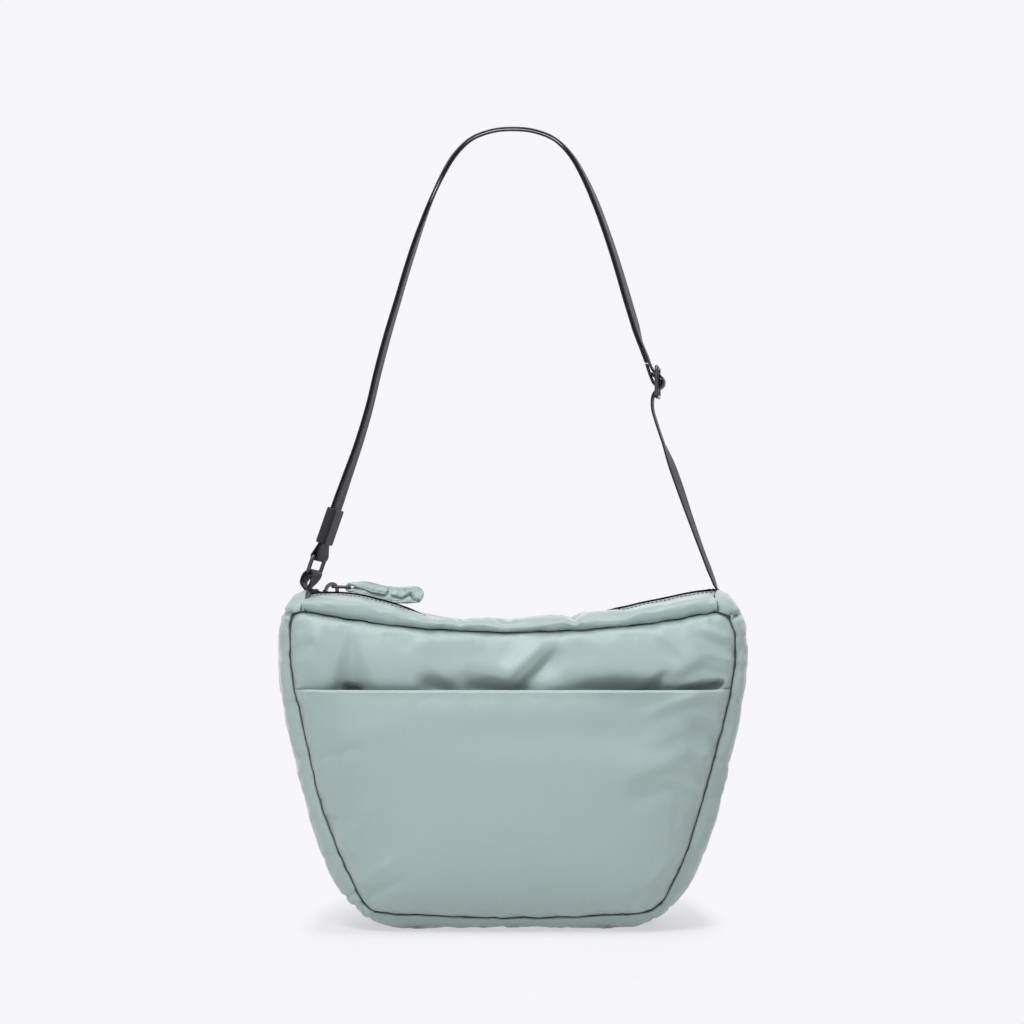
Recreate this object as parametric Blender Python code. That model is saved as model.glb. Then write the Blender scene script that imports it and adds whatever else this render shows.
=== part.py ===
"""Half moon shoulder bag in padded nylon, with a zipped mouth, a front slip pocket and a webbing strap.

Metres, +Z up. The bag stands on the floor at z = 0 and faces -Y. The origin is the middle of its base.
"""

import math

import bmesh
import bpy
import numpy as np
from mathutils import Matrix, Vector

# The bag's body
HALF_WIDTH = 0.150
HEIGHT = 0.214
HALF_DEPTH = 0.038
GAP = 0.0003
SHELL = 0.0008
WADDING = 0.0020
LINING = 0.0006

# Panels: their crown, the pocket's slack and the height of its mouth
CROWN = 0.0075
REAR_CROWN = 0.0065
CROWN_POWER = 4.5
POCKET_SLACK = 0.0070
POCKET_MOUTH_HEIGHT = 0.152
PANEL_CENTRE_SHARE = 0.46729
TOP_SEAM_DROP = 0.0252
TOP_SEAM_LOW = HEIGHT - TOP_SEAM_DROP
TOP_SEAM_RISE = 0.0133
RING_SHARES = (0.40, 0.70, 0.88, 0.965, 1.0)
WADDING_RING_SHARES = (0.40, 0.70, 0.88, 0.95)
TOP_SEAM_SHARES = (0.0, 0.25, 0.50, 0.75)

# Seam and mid-depth outlines of the gusset from the mouth's end down to the middle of the base:
# seam x, seam z, mid-depth x, mid-depth z, as shares of the half width and the height
GUSSET_SHARES = (
    (0.867, 0.9435, 0.867, 1.000),
    (0.907, 0.932, 0.923, 0.986),
    (0.926, 0.915, 0.963, 0.955),
    (0.935, 0.882, 0.990, 0.907),
    (0.937, 0.832, 1.000, 0.846),
    (0.934, 0.771, 1.000, 0.771),
    (0.914, 0.695, 0.987, 0.692),
    (0.877, 0.585, 0.958, 0.579),
    (0.829, 0.460, 0.913, 0.453),
    (0.777, 0.329, 0.862, 0.332),
    (0.727, 0.222, 0.797, 0.215),
    (0.672, 0.138, 0.737, 0.126),
    (0.636, 0.092, 0.680, 0.061),
    (0.590, 0.062, 0.617, 0.020),
    (0.530, 0.051, 0.533, 0.000),
    (0.400, 0.046, 0.400, 0.000),
    (0.200, 0.039, 0.200, 0.000),
    (0.000, 0.036, 0.000, 0.000),
)
GUSSET_ROW_SHARES = (-1.0, -0.82, -0.5, 0.0, 0.5, 0.82, 1.0)
GUSSET_FLAT_SHARE = 0.5

# Mouth: the zip lies on an arc in the plane y = 0, between two top bands
SEAM_SHARE = 0.8733333
SEAM_X = HALF_WIDTH * SEAM_SHARE
ZIP_DROP = 0.0220
ZIP_LOW = HEIGHT - ZIP_DROP
ZIP_RISE = 0.0225
ZIP_SLOT = 0.0075
BAND = 0.0015
BAND_LIP = 0.0018
BAND_LIP_BUMP = 0.0030
BAND_LIP_END = 0.0004
BAND_BULGE = 0.0012
BAND_STATIONS = 18
BAND_ROW_SHARES = (0.0, 0.35, 0.72, 1.0)
TAPE = 0.0005
TAPE_UNDER_BAND = 0.0060

# Zip chain: each side's teeth have a neck and a wider head and lie between the other side's
TOOTH_PITCH = 0.0046
TOOTH_HEAD = 0.0015
TOOTH_NECK = 0.0009
TOOTH_REACH = 0.0011
TOOTH_HEAD_DEPTH = 0.0009
BEAD_NEAR = 0.0014
BEAD_FAR = 0.0028
CHAIN_THICKNESS = 0.0024
STOP_LENGTH = 0.0024
STOP_WIDTH = 0.0056
STOP_HEIGHT = 0.0034

# Zip slider, link and fabric pull
SLIDER_INSET = 0.0142
SLIDER_X = SLIDER_INSET - SEAM_X
SLIDER_LENGTH = 0.0106
SLIDER_WIDTH = 0.0098
SLIDER_PLATE = 0.0010
SLIDER_FLANGE = 0.0008
SLIDER_DIVIDER_LENGTH = 0.0020
SLIDER_DIVIDER_WIDTH = 0.0014
SLIDER_TAIL_SHARE = 0.82
BRIDGE_LENGTH = 0.0084
BRIDGE_RISE = 0.0056
BRIDGE_WIDTH = 0.0026
BRIDGE_THICKNESS = 0.0011
BRIDGE_STEPS = 12
LINK_LENGTH = 0.0128
LINK_WIDTH = 0.0086
LINK_WIRE = 0.0018
LINK_DROOP_DEGREES = -2.0
PULL_WIDTH = 0.0120
PULL_WIDTH_IN_LINK = 0.0041
PULL_TAPER_SHARE = 0.16
PULL_THICKNESS = 0.0019
PULL_TOP_LENGTH = 0.0270
PULL_TAIL_LENGTH = 0.0470
PULL_ROLL_DEGREES = 60.0
PULL_ROLLED_SHARE = 0.30
PULL_SPREAD_SHARE = 0.10
PULL_BEND_STEPS = 6
PULL_ROUTE_SHARES = ((0.0, 0.0), (0.10, 0.012), (0.30, -0.010), (0.55, -0.085), (0.80, -0.105), (1.0, -0.075))

# Webbing and the swing of the strap about its two roots
WEBBING = 0.0013
WEBBING_WIDTH = 0.0200
ROOT_DEPTH = 0.0115
SWING_RISE = 0.0155
SWING_HEIGHT = HEIGHT + SWING_RISE
SWING_RADIUS = 0.0148
SWING_ARC_START = -150.0
SWING_ARC_SWEEP = 120.0
SWING_ARC_STEPS = 16

# Strap ring on the left, its tab and the strap's arch above it
WIRE = 0.0026
RING_INSET = 0.0074
RING_BAR_X = RING_INSET - SEAM_X
RING_RISE = 0.0205
RING_BAR_Z = HEIGHT + RING_RISE
RING_HEIGHT = 0.0113
RING_WIDTH = 0.0236
RING_CORNER = 0.0022
RING_YAW_DEGREES = 17.0
TAB_YAW_SHARE = 0.5
TAB_OUTER_SHARES = ((-0.45, -0.76, 0.4), (-0.55, -0.50, 1.0), (-0.40, -0.12, 1.8))
TAB_BEND_SHARES = (0.12, 0.28, 0.44, 0.60, 0.76, 0.92, 1.06)
TAB_INNER_SHARES = ((0.13, -0.24, 1.8), (-0.06, -0.56, 1.0), (-0.23, -0.80, 0.4))
STRAP_TOP = 0.5080
ARCH_SHARES = (
    (1.000, 0.000),
    (0.931, 0.090),
    (0.862, 0.180),
    (0.793, 0.270),
    (0.740, 0.352),
    (0.697, 0.434),
    (0.649, 0.516),
    (0.594, 0.600),
    (0.539, 0.684),
    (0.476, 0.770),
    (0.426, 0.830),
    (0.370, 0.886),
    (0.312, 0.932),
    (0.232, 0.971),
    (0.120, 0.994),
    (0.000, 1.000),
)
LOOP_SPREAD_SHARES = ((0.030, 0.0), (0.016, 0.42), (0.004, 0.95))
LOOP_STEPS = 8
YAW_SHARES = ((0.0, 1.0), (0.010, 1.0), (0.030, 0.70), (0.26, 0.70), (0.36, 0.24), (1.0, 0.24))
RIGHT_YAW_DEGREES = 6.0
ARCH_SPLIT_SHARE = 0.660

# Keeper sleeve over both layers of the left leg
KEEPER_LOW_SHARE = 0.031
KEEPER_LENGTH = 0.0235
KEEPER_WALL = 0.0011
KEEPER_EASE = 0.0008

# Tri-glide on the right leg: three parallel bars, the strap's end stitched round the middle one
GLIDE_REACH_SHARE = 0.74919
GLIDE_CLIMB_SHARE = 0.40841
GLIDE_X = -RING_BAR_X * GLIDE_REACH_SHARE
GLIDE_Z = RING_BAR_Z + (STRAP_TOP - RING_BAR_Z) * GLIDE_CLIMB_SHARE
BAR_PITCH = 0.00935
GLIDE_WIDTH = 0.0236
GLIDE_CORNER = 0.0022
WEAVE_SHARES = (
    (-1.11, 2.72),
    (-0.72, 1.80),
    (-0.43, 1.03),
    (-0.20, 0.66),
    (0.20, 0.43),
    (0.425, 0.09),
    (0.40, -0.20),
    (0.13, -0.46),
    (-0.18, -0.70),
    (-0.32, -1.00),
    (-0.36, -1.39),
    (-0.33, -1.87),
    (-0.13, -2.59),
    (0.41, -4.22),
)
RETURN_SHARES = ((-1.26, 2.62), (-0.95, 1.80), (-0.79, 1.36))
STITCHED_SHARES = (
    (-0.74, 1.22),
    (-0.58, 0.72),
    (-0.37, 0.16),
    (-0.19, -0.17),
    (0.05, -0.245),
    (0.24, -0.05),
    (0.21, 0.17),
    (-0.02, 0.255),
    (-0.20, 0.36),
    (-0.37, 0.62),
)
LOWER_YAW_DEGREES = 11.0
LOWER_RUN_SHARES = (
    (0.220, 0.608, 0.9),
    (0.323, 0.525, 1.0),
    (0.531, 0.350, 0.95),
    (0.747, 0.175, 0.75),
    (0.901, 0.0586, 0.70),
    (0.985, -0.002, 0.25),
)

SAGE = (0.36, 0.46, 0.45)
LINING_GREY = (0.20, 0.24, 0.24)
WADDING_WHITE = (0.80, 0.80, 0.78)
BLACK = (0.025, 0.025, 0.028)
DARK_METAL = (0.10, 0.10, 0.11)


def clear_scene():
    for obj in list(bpy.data.objects):
        bpy.data.objects.remove(obj, do_unlink=True)


def material(name, colour, roughness, metallic=0.0):
    made = bpy.data.materials.new(name)
    made.use_nodes = True
    shader = made.node_tree.nodes["Principled BSDF"]
    shader.inputs["Base Color"].default_value = (*colour, 1.0)
    shader.inputs["Roughness"].default_value = roughness
    shader.inputs["Metallic"].default_value = metallic
    return made


def add_object(name, points, faces, look, sharp_degrees=40.0):
    """A mesh object with its faces turned outward and its round parts shaded smooth."""
    mesh = bpy.data.meshes.new(name)
    mesh.from_pydata([tuple(point) for point in points], [], faces)
    solid = bmesh.new()
    solid.from_mesh(mesh)
    bmesh.ops.recalc_face_normals(solid, faces=solid.faces)
    solid.to_mesh(mesh)
    solid.free()
    mesh.materials.append(look)
    mesh.shade_smooth()
    mesh.set_sharp_from_angle(angle=math.radians(sharp_degrees))
    obj = bpy.data.objects.new(name, mesh)
    bpy.context.scene.collection.objects.link(obj)
    return obj


def strip_solid(name, stations, look, closed=False):
    """A solid sheet through stations, each a row of outer points and a row of inner ones.

    Its quads are split along like diagonals on both faces, so that sheets laid on each other don't cross."""
    points = [point for outer, inner in stations for point in (*outer, *inner)]
    row = len(stations[0][0])
    size = 2 * row
    loop = [*range(row), *range(size - 1, row - 1, -1)]
    faces = []
    count = len(stations)
    for k in range(count if closed else count - 1):
        here = k * size
        there = (k + 1) % count * size
        for i in range(size):
            a = loop[i]
            b = loop[(i + 1) % size]
            if a < b:
                faces += [(here + a, here + b, there + b), (here + a, there + b, there + a)]
            else:
                faces += [(here + a, here + b, there + a), (here + b, there + b, there + a)]
    if not closed:
        for start in (0, (count - 1) * size):
            for i in range(row - 1):
                faces.append((start + i, start + i + 1, start + row + i + 1, start + row + i))
    return add_object(name, points, faces, look)


def smooth_route(points, steps):
    """A smooth curve through the points, with this many pieces between each two. x and z come first."""
    knots = np.array(points, float)
    lengths = np.linalg.norm(np.diff(knots[:, :2], axis=0), axis=1)[:, None]
    slopes = np.diff(knots, axis=0) / lengths
    inner = (slopes[:-1] * lengths[1:] + slopes[1:] * lengths[:-1]) / (lengths[:-1] + lengths[1:])
    slopes = np.concatenate([slopes[:1], inner, slopes[-1:]])
    route = []
    for k in range(len(lengths)):
        for step in range(steps):
            t = step / steps
            route.append(
                (1 + 2 * t) * (1 - t)**2 * knots[k] + t**2 * (3 - 2 * t) * knots[k + 1]
                + lengths[k] * (t * (1 - t)**2 * slopes[k] - t**2 * (1 - t) * slopes[k + 1])
            )
    route.append(knots[-1])
    return route


def arc_radius(half_chord, rise):
    return (half_chord**2 + rise**2) / (2 * rise)


def arc_height(x, low, half_chord, rise):
    """Height of an arc that is lowest at x = 0 and has risen this much at the half chord."""
    radius = arc_radius(half_chord, rise)
    return low + radius - math.sqrt(radius**2 - x**2)


def yawed(degrees):
    """The Y axis turned about the vertical, so that webbing that faces it shows its right-hand face."""
    turn = math.radians(degrees)
    return Vector((math.sin(turn), math.cos(turn), 0.0))


def square_to(wide, tangent):
    """The part of a width direction that is square to the way the webbing runs."""
    return (wide - tangent * wide.dot(tangent)).normalized()


def framed(stations):
    """Centre, width direction and face normal at each station of a centre and a wanted width direction."""
    count = len(stations)
    steps = [(stations[k + 1][0] - stations[k][0]).normalized() for k in range(count - 1)]
    steps = [steps[0], *steps, steps[-1]]
    frames = []
    for k, (centre, wanted) in enumerate(stations):
        tangent = (steps[k] + steps[k + 1]).normalized()
        wide = square_to(wanted, tangent)
        frames.append((centre, wide, wide.cross(tangent)))
    return frames


def ribbon(name, stations, width, thickness, look):
    """Webbing through stations of a centre and a wanted width direction. Its width may vary by station."""
    widths = np.broadcast_to(width, len(stations))
    rows = []
    for (centre, wide, face), here in zip(framed(stations), widths):
        half_wide = wide * (here / 2)
        half_face = face * (thickness / 2)
        rows.append((
            (centre - half_wide + half_face, centre + half_wide + half_face),
            (centre - half_wide - half_face, centre + half_wide - half_face),
        ))
    return strip_solid(name, rows, look)


def beside(stations, offset):
    """The same run moved sideways along its face normal, by one offset or by one for each station."""
    offsets = np.broadcast_to(offset, len(stations))
    moved = []
    for (centre, wide, face), (old, wanted), distance in zip(framed(stations), stations, offsets):
        moved.append((centre + face * distance, wanted))
    return moved


def flat_run(route):
    """Stations from a route of x, z and yaw in degrees."""
    return [(Vector((x, 0.0, z)), yawed(yaw)) for x, z, yaw in route]


def planar_loop(centre, across_axis, up_axis, half_width, half_height, corner, steps):
    """Points of a rounded rectangle in the plane of two unit axes."""
    points = []
    for quarter in range(4):
        sign_x = (1, -1, -1, 1)[quarter]
        sign_z = (1, 1, -1, -1)[quarter]
        for k in range(steps + 1):
            turn = math.radians(90) * (quarter + k / steps)
            u = sign_x * (half_width - corner) + corner * math.cos(turn)
            v = sign_z * (half_height - corner) + corner * math.sin(turn)
            points.append(centre + across_axis * u + up_axis * v)
    return points


def wire_loop(name, points, plane_normal, radius, sides, look):
    """A closed ring of round wire whose centre line lies in one plane."""
    count = len(points)
    rings = []
    for k in range(count):
        tangent = (points[(k + 1) % count] - points[k - 1]).normalized()
        outward = tangent.cross(plane_normal).normalized()
        for i in range(sides):
            turn = 2 * math.pi * (i + 0.5) / sides
            spoke = outward * (radius * math.cos(turn)) + plane_normal * (radius * math.sin(turn))
            rings.append(points[k] + spoke)
    faces = []
    for k in range(count):
        for i in range(sides):
            after = (k + 1) % count * sides
            j = (i + 1) % sides
            faces.append((k * sides + i, k * sides + j, after + j, after + i))
    return add_object(name, rings, faces, look)


def prism(name, outline, place, thickness, look, caps=None):
    """An outline pushed both ways along its normal by half the thickness. caps says how it is filled."""
    half = thickness / 2
    points = [place(x, y, half) for x, y in outline]
    points += [place(x, y, -half) for x, y in outline]
    count = len(outline)
    faces = []
    for cap in caps or [range(count)]:
        faces += [tuple(cap), tuple(count + index for index in reversed(cap))]
    for k in range(count):
        after = (k + 1) % count
        faces.append((k, after, count + after, count + k))
    return add_object(name, points, faces, look)


def combine(target, others, operation):
    """Applies Booleans to the target and removes the cutters."""
    for other in others:
        cut = target.modifiers.new(operation, "BOOLEAN")
        cut.operation = operation
        cut.object = other
        cut.solver = "EXACT"
    graph = bpy.context.evaluated_depsgraph_get()
    mesh = bpy.data.meshes.new_from_object(target.evaluated_get(graph))
    target.modifiers.clear()
    old = target.data
    target.data = mesh
    bpy.data.meshes.remove(old)
    for other in others:
        bpy.data.objects.remove(other, do_unlink=True)
    return target


def slot_half(side):
    """Half the slot at the mouth's end: it holds two layers of webbing on the left and one on the right."""
    layers = 2 if side < 0 else 1
    return (layers * (WEBBING + GAP) + GAP) / 2


def gusset_outlines(side):
    """Seam and mid-depth points on one side, from the mouth's end down to the middle of the base."""
    seam = [(side * HALF_WIDTH * a, HEIGHT * b) for a, b, c, d in GUSSET_SHARES]
    middle = [(side * HALF_WIDTH * c, HEIGHT * d) for a, b, c, d in GUSSET_SHARES]
    end_x = side * (SEAM_X + slot_half(side))
    seam[0] = (end_x, seam[0][1])
    middle[0] = (end_x, middle[0][1])
    return seam, middle


def gusset_row(depth_share):
    """The gusset's outline at one share of the half depth, from the left mouth end round to the right one."""
    edge = max(0.0, (abs(depth_share) - GUSSET_FLAT_SHARE) / (1 - GUSSET_FLAT_SHARE))
    bulge = 1 - edge**2
    halves = []
    for side in (-1, 1):
        seam, middle = gusset_outlines(side)
        halves.append([(1 - bulge) * np.array(s) + bulge * np.array(m) for s, m in zip(seam, middle)])
    return np.array(halves[0] + halves[1][-2::-1])


def inward(outline, distance):
    """An open outline moved to the inside, square to itself, and straight down at its two ends."""
    ahead = np.gradient(outline, axis=0)
    ahead /= np.linalg.norm(ahead, axis=1)[:, None]
    normal = np.stack([-ahead[:, 1], ahead[:, 0]], axis=1)
    normal[0] = (0.0, -1.0)
    normal[-1] = (0.0, -1.0)
    return outline + normal * distance


def gusset_layer(name, outer, inner, shares, look):
    """One layer of the gusset, between two distances in from its outer face, over some of its rows."""
    faces = []
    for distance in (outer, inner):
        rows = [inward(gusset_row(share), distance) for share in shares]
        faces.append([
            [Vector((row[k][0], share * HALF_DEPTH, row[k][1])) for share, row in zip(shares, rows)]
            for k in range(len(rows[0]))
        ])
    return strip_solid(name, list(zip(*faces)), look)


def make_gusset(looks):
    """Shell, wadding and lining of the gusset, from the outside in. The wadding stops short of the seams."""
    depth = SHELL
    gusset_layer("gusset_shell", 0.0, depth, GUSSET_ROW_SHARES, looks["shell"])
    depth += GAP
    gusset_layer("gusset_wadding", depth, depth + WADDING, GUSSET_ROW_SHARES[1:-1], looks["wadding"])
    depth += WADDING + GAP
    gusset_layer("gusset_lining", depth, depth + LINING, GUSSET_ROW_SHARES, looks["lining"])


def panel_outline():
    """The seam round a panel as x and z, once round from the middle of the top, going right."""
    side = [(HALF_WIDTH * a, HEIGHT * b) for a, b, c, d in GUSSET_SHARES]
    top_end = side[0]
    top = [
        (share * top_end[0], arc_height(share * top_end[0], TOP_SEAM_LOW, SEAM_X, TOP_SEAM_RISE))
        for share in TOP_SEAM_SHARES
    ]
    right = top + side
    left = [(-x, z) for x, z in right[-2:0:-1]]
    return right + left


def panel_layer(name, rings, near, far, facing, look):
    """A sheet over the panel's outline. near and far give its two faces' distances from the seam plane."""
    outline = panel_outline()
    count = len(outline)
    centre = HEIGHT * PANEL_CENTRE_SHARE
    points = []
    for distance in (near, far):
        for ring in rings:
            for x, z in outline:
                height = centre + ring * (z - centre)
                points.append((ring * x, facing * (HALF_DEPTH + distance(ring)), height))
        points.append((0.0, facing * (HALF_DEPTH + distance(0.0)), centre))
    size = len(rings) * count + 1
    faces = []
    for start in (0, size):
        for i in range(count):
            j = (i + 1) % count
            faces.append((start + size - 1, start + i, start + j))
            for ring in range(len(rings) - 1):
                inner = start + ring * count
                outer = inner + count
                faces.append((inner + i, outer + i, outer + j, inner + j))
    rim = (len(rings) - 1) * count
    for i in range(count):
        j = (i + 1) % count
        faces.append((rim + i, rim + j, size + rim + j, size + rim + i))
    return add_object(name, points, faces, look)


def crown(ring, rise):
    return GAP + rise * (1 - ring**CROWN_POWER)


def shoulder(ring):
    """1 where a panel is padded, falling to 0 at its seam."""
    return min(1.0, (1 - ring) / (1 - RING_SHARES[-2]))


def make_panel(side_name, facing, rise, looks):
    """Lining, wadding and shell of one main panel, from the inside out."""
    def lining_inside(ring):
        return crown(ring, rise)

    def lining_outside(ring):
        return lining_inside(ring) + LINING

    def wadding_inside(ring):
        return lining_outside(ring) + GAP

    def wadding_outside(ring):
        return wadding_inside(ring) + WADDING

    def shell_inside(ring):
        return lining_outside(ring) + GAP + shoulder(ring) * (WADDING + GAP)

    def shell_outside(ring):
        return shell_inside(ring) + SHELL

    panel_layer(f"{side_name}_lining", RING_SHARES, lining_inside, lining_outside, facing, looks["lining"])
    panel_layer(
        f"{side_name}_wadding", WADDING_RING_SHARES, wadding_inside, wadding_outside, facing, looks["wadding"]
    )
    panel_layer(f"{side_name}_panel", RING_SHARES, shell_inside, shell_outside, facing, looks["shell"])
    return shell_outside


def cut_above(obj, height):
    """Removes what is above a level and closes the cut."""
    solid = bmesh.new()
    solid.from_mesh(obj.data)
    everything = [*solid.verts, *solid.edges, *solid.faces]
    bmesh.ops.bisect_plane(
        solid, geom=everything, plane_co=(0.0, 0.0, height), plane_no=(0.0, 0.0, 1.0), clear_outer=True
    )
    edges = [edge for edge in solid.edges if edge.is_boundary]
    bmesh.ops.holes_fill(solid, edges=edges, sides=0)
    bmesh.ops.recalc_face_normals(solid, faces=solid.faces)
    solid.to_mesh(obj.data)
    solid.free()


def make_pocket(front_outside, looks):
    """The slip pocket over the lower front: a lining and a shell, open along their straight top."""
    def slack(ring):
        return POCKET_SLACK * (1 - ring**CROWN_POWER)

    def lining_inside(ring):
        return front_outside(ring) + GAP + slack(ring)

    def lining_outside(ring):
        return lining_inside(ring) + LINING

    def shell_inside(ring):
        return lining_outside(ring) + GAP

    def shell_outside(ring):
        return shell_inside(ring) + SHELL

    lining = panel_layer("pocket_lining", RING_SHARES, lining_inside, lining_outside, -1, looks["lining"])
    shell = panel_layer("pocket_panel", RING_SHARES, shell_inside, shell_outside, -1, looks["shell"])
    for obj in (lining, shell):
        cut_above(obj, POCKET_MOUTH_HEIGHT)


def zip_height(x):
    return arc_height(x, ZIP_LOW, SEAM_X, ZIP_RISE)


def band_lip(x):
    """How far the band's inner edge stands above the zip: most between the middle and the ends."""
    share = abs(x) / SEAM_X
    end = share**8
    bump = math.sin(math.pi * share)**2
    return (BAND_LIP + BAND_LIP_BUMP * bump) * (1 - end) + BAND_LIP_END * end


def band_height(x, row_share):
    """The band's upper face from the seam with the panel, at row share 0, to the zip slot, at 1."""
    seam = arc_height(x, TOP_SEAM_LOW, SEAM_X, TOP_SEAM_RISE)
    edge = zip_height(x) + band_lip(x)
    return seam + (edge - seam) * row_share + BAND_BULGE * math.sin(math.pi * row_share)


def band_end(side):
    return side * (SEAM_X - slot_half(side))


def mouth_stations(count):
    """Places along the mouth between the two bands' ends."""
    return np.linspace(band_end(-1), band_end(1), count)


def make_band(name, facing, look):
    stations = []
    for x in mouth_stations(BAND_STATIONS):
        rows = [
            (facing * (HALF_DEPTH + (ZIP_SLOT - HALF_DEPTH) * share), band_height(x, share))
            for share in BAND_ROW_SHARES
        ]
        stations.append((
            [Vector((x, y, z)) for y, z in rows],
            [Vector((x, y, z - BAND)) for y, z in rows],
        ))
    strip_solid(name, stations, look)


def make_tape(name, facing, look):
    """Zip tape from beside the chain, under the band's edge, to where it is sewn to the band."""
    outer_share = 1 - TAPE_UNDER_BAND / (HALF_DEPTH - ZIP_SLOT)
    stations = []
    for x in mouth_stations(BAND_STATIONS):
        chain_z = zip_height(x) + TAPE / 2
        lip_z = min(chain_z, band_height(x, 1.0) - BAND - GAP)
        outer_z = min(chain_z, band_height(x, outer_share) - BAND - GAP)
        rows = (
            (facing * (BEAD_FAR + GAP), chain_z),
            (facing * ZIP_SLOT, lip_z),
            (facing * (ZIP_SLOT + TAPE_UNDER_BAND), outer_z),
        )
        stations.append((
            [Vector((x, y, z)) for y, z in rows],
            [Vector((x, y, z - TAPE)) for y, z in rows],
        ))
    strip_solid(name, stations, look)


def on_zip(along, sideways, up):
    """A point by its length along the zip's arc from its middle, its side and its height over the arc."""
    radius = arc_radius(SEAM_X, ZIP_RISE)
    turn = along / radius
    return Vector((
        (radius - up) * math.sin(turn),
        sideways,
        ZIP_LOW + radius - (radius - up) * math.cos(turn),
    ))


def slider_angle():
    return math.asin(SLIDER_X / arc_radius(SEAM_X, ZIP_RISE))


def chain_half_length():
    return SEAM_X - STOP_LENGTH * 2


def divider_reach():
    """The two ends of the slider's divider along the chain, from the slider's middle."""
    near = (SLIDER_PLATE - SLIDER_LENGTH) / 2
    return near, near + SLIDER_DIVIDER_LENGTH


def make_chain(name, facing, look):
    """One side of the zip as a comb along the arc. Its bead is bare to the left of the slider's divider."""
    half = chain_half_length()
    pairs = int(half / TOOTH_PITCH)
    shift = TOOTH_PITCH / 4 * facing
    bare = slider_angle() * arc_radius(SEAM_X, ZIP_RISE) + divider_reach()[1] + GAP + TOOTH_HEAD / 2
    middles = [TOOTH_PITCH * k + shift for k in range(-pairs, pairs + 1)]
    middles = [middle for middle in middles if bare < middle < half - TOOTH_HEAD]
    flank = (
        (TOOTH_NECK / 2, BEAD_NEAR),
        (TOOTH_HEAD / 2, TOOTH_HEAD_DEPTH / 2 - TOOTH_REACH),
        (TOOTH_NECK / 2, -TOOTH_REACH),
    )
    outline = [(-half, BEAD_NEAR)]
    for middle in middles:
        outline += [(middle - along, depth) for along, depth in flank]
        outline += [(middle + along, depth) for along, depth in reversed(flank)]
    outline.append((half, BEAD_NEAR))
    outline += [(along, BEAD_FAR) for along in (half, *reversed(middles), -half)]
    # Each tooth is two flanks of the outline. First the bead is filled between the teeth, then under each of
    # them, and then the teeth themselves.
    teeth = len(middles)
    last = len(outline) - 1
    own = 2 * len(flank)
    caps = [(own * k, own * k + 1, last - 1 - k, last - k) for k in range(teeth + 1)]
    caps += [(own * k + 1, own * (k + 1), last - 1 - k) for k in range(teeth)]
    caps += [range(own * k + 1, own * (k + 1) + 1) for k in range(teeth)]
    return prism(
        name, outline, lambda along, depth, up: on_zip(along, facing * depth, up), CHAIN_THICKNESS, look, caps
    )


def block(name, place, length, width, bottom, top, look):
    """A box in the zip's own frame: along the arc, across it and up from it."""
    half = (length / 2, width / 2)
    outline = [(x * half[0], y * half[1]) for x, y in ((-1, -1), (1, -1), (1, 1), (-1, 1))]
    middle = (bottom + top) / 2
    return prism(name, outline, lambda along, side, up: place(along, side, middle + up), top - bottom, look)


def make_stops(look):
    """The end stops, in line with the chain between the tapes."""
    for side, name in ((-1, "zip_stop_left"), (1, "zip_stop_right")):
        along = side * (chain_half_length() + STOP_LENGTH / 2 + GAP)
        stop = block(
            name,
            lambda u, v, w, along=along: on_zip(along + u, v, w),
            STOP_LENGTH, STOP_WIDTH, -STOP_HEIGHT / 2, STOP_HEIGHT / 2, look,
        )
        rounding = stop.modifiers.new("rounding", "BEVEL")
        rounding.width = STOP_LENGTH / 5
        rounding.segments = 1


def zip_frame():
    """The empty on the axis of the zip's arc, turned to where the slider is."""
    axis = bpy.data.objects.new("zip_axis", None)
    axis.location = (0.0, 0.0, ZIP_LOW + arc_radius(SEAM_X, ZIP_RISE))
    axis.rotation_euler = (0.0, -slider_angle(), 0.0)
    bpy.context.scene.collection.objects.link(axis)
    return axis


def slider_place(x, y, up):
    """A point in the slider's frame, seen from the zip's axis: along the chain, across it and up."""
    return Vector((x, y, up - arc_radius(SEAM_X, ZIP_RISE)))


def slider_outline(half_length, half_width):
    """Plan of a slider plate: wide and rounded where the teeth enter, narrower where they leave meshed."""
    tail = half_width * SLIDER_TAIL_SHARE
    shares = ((-1.0, 0.45), (-0.88, 0.80), (-0.62, 1.0), (-0.20, 1.0))
    nose = [(x * half_length, y * half_width) for x, y in shares]
    upper = [*nose, (0.25 * half_length, tail), (half_length, tail)]
    return [*((x, -y) for x, y in upper), *reversed(upper)]


def make_slider(axis, looks):
    half_length = SLIDER_LENGTH / 2
    half_width = SLIDER_WIDTH / 2
    inner = CHAIN_THICKNESS / 2 + GAP
    outer = inner + SLIDER_PLATE
    height = (inner + outer) / 2
    outline = slider_outline(half_length, half_width)
    body = prism(
        "slider_body", outline, lambda x, y, up: slider_place(x, y, height + up), SLIDER_PLATE, looks["metal"]
    )
    lower = prism(
        "slider_lower", outline, lambda x, y, up: slider_place(x, y, up - height), SLIDER_PLATE,
        looks["metal"],
    )
    divider_x = sum(divider_reach()) / 2
    divider = block(
        "slider_divider",
        lambda x, y, up: slider_place(x + divider_x, y, up),
        SLIDER_DIVIDER_LENGTH, SLIDER_DIVIDER_WIDTH, -height, height, looks["metal"],
    )
    pieces = [lower, divider]
    tail = half_width * SLIDER_TAIL_SHARE
    for side in (-1, 1):
        for level in (-1, 1):
            reach = sorted((level * height, level * (TAPE / 2 + GAP)))
            edge = tail - SLIDER_FLANGE / 2
            pieces.append(block(
                "slider_flange",
                lambda x, y, up, side=side: slider_place(x + half_length / 2, y + side * edge, up),
                half_length, SLIDER_FLANGE, reach[0], reach[1], looks["metal"],
            ))
    combine(body, pieces, "UNION").parent = axis
    make_bridge(axis, outer + GAP, looks["metal"])


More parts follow.
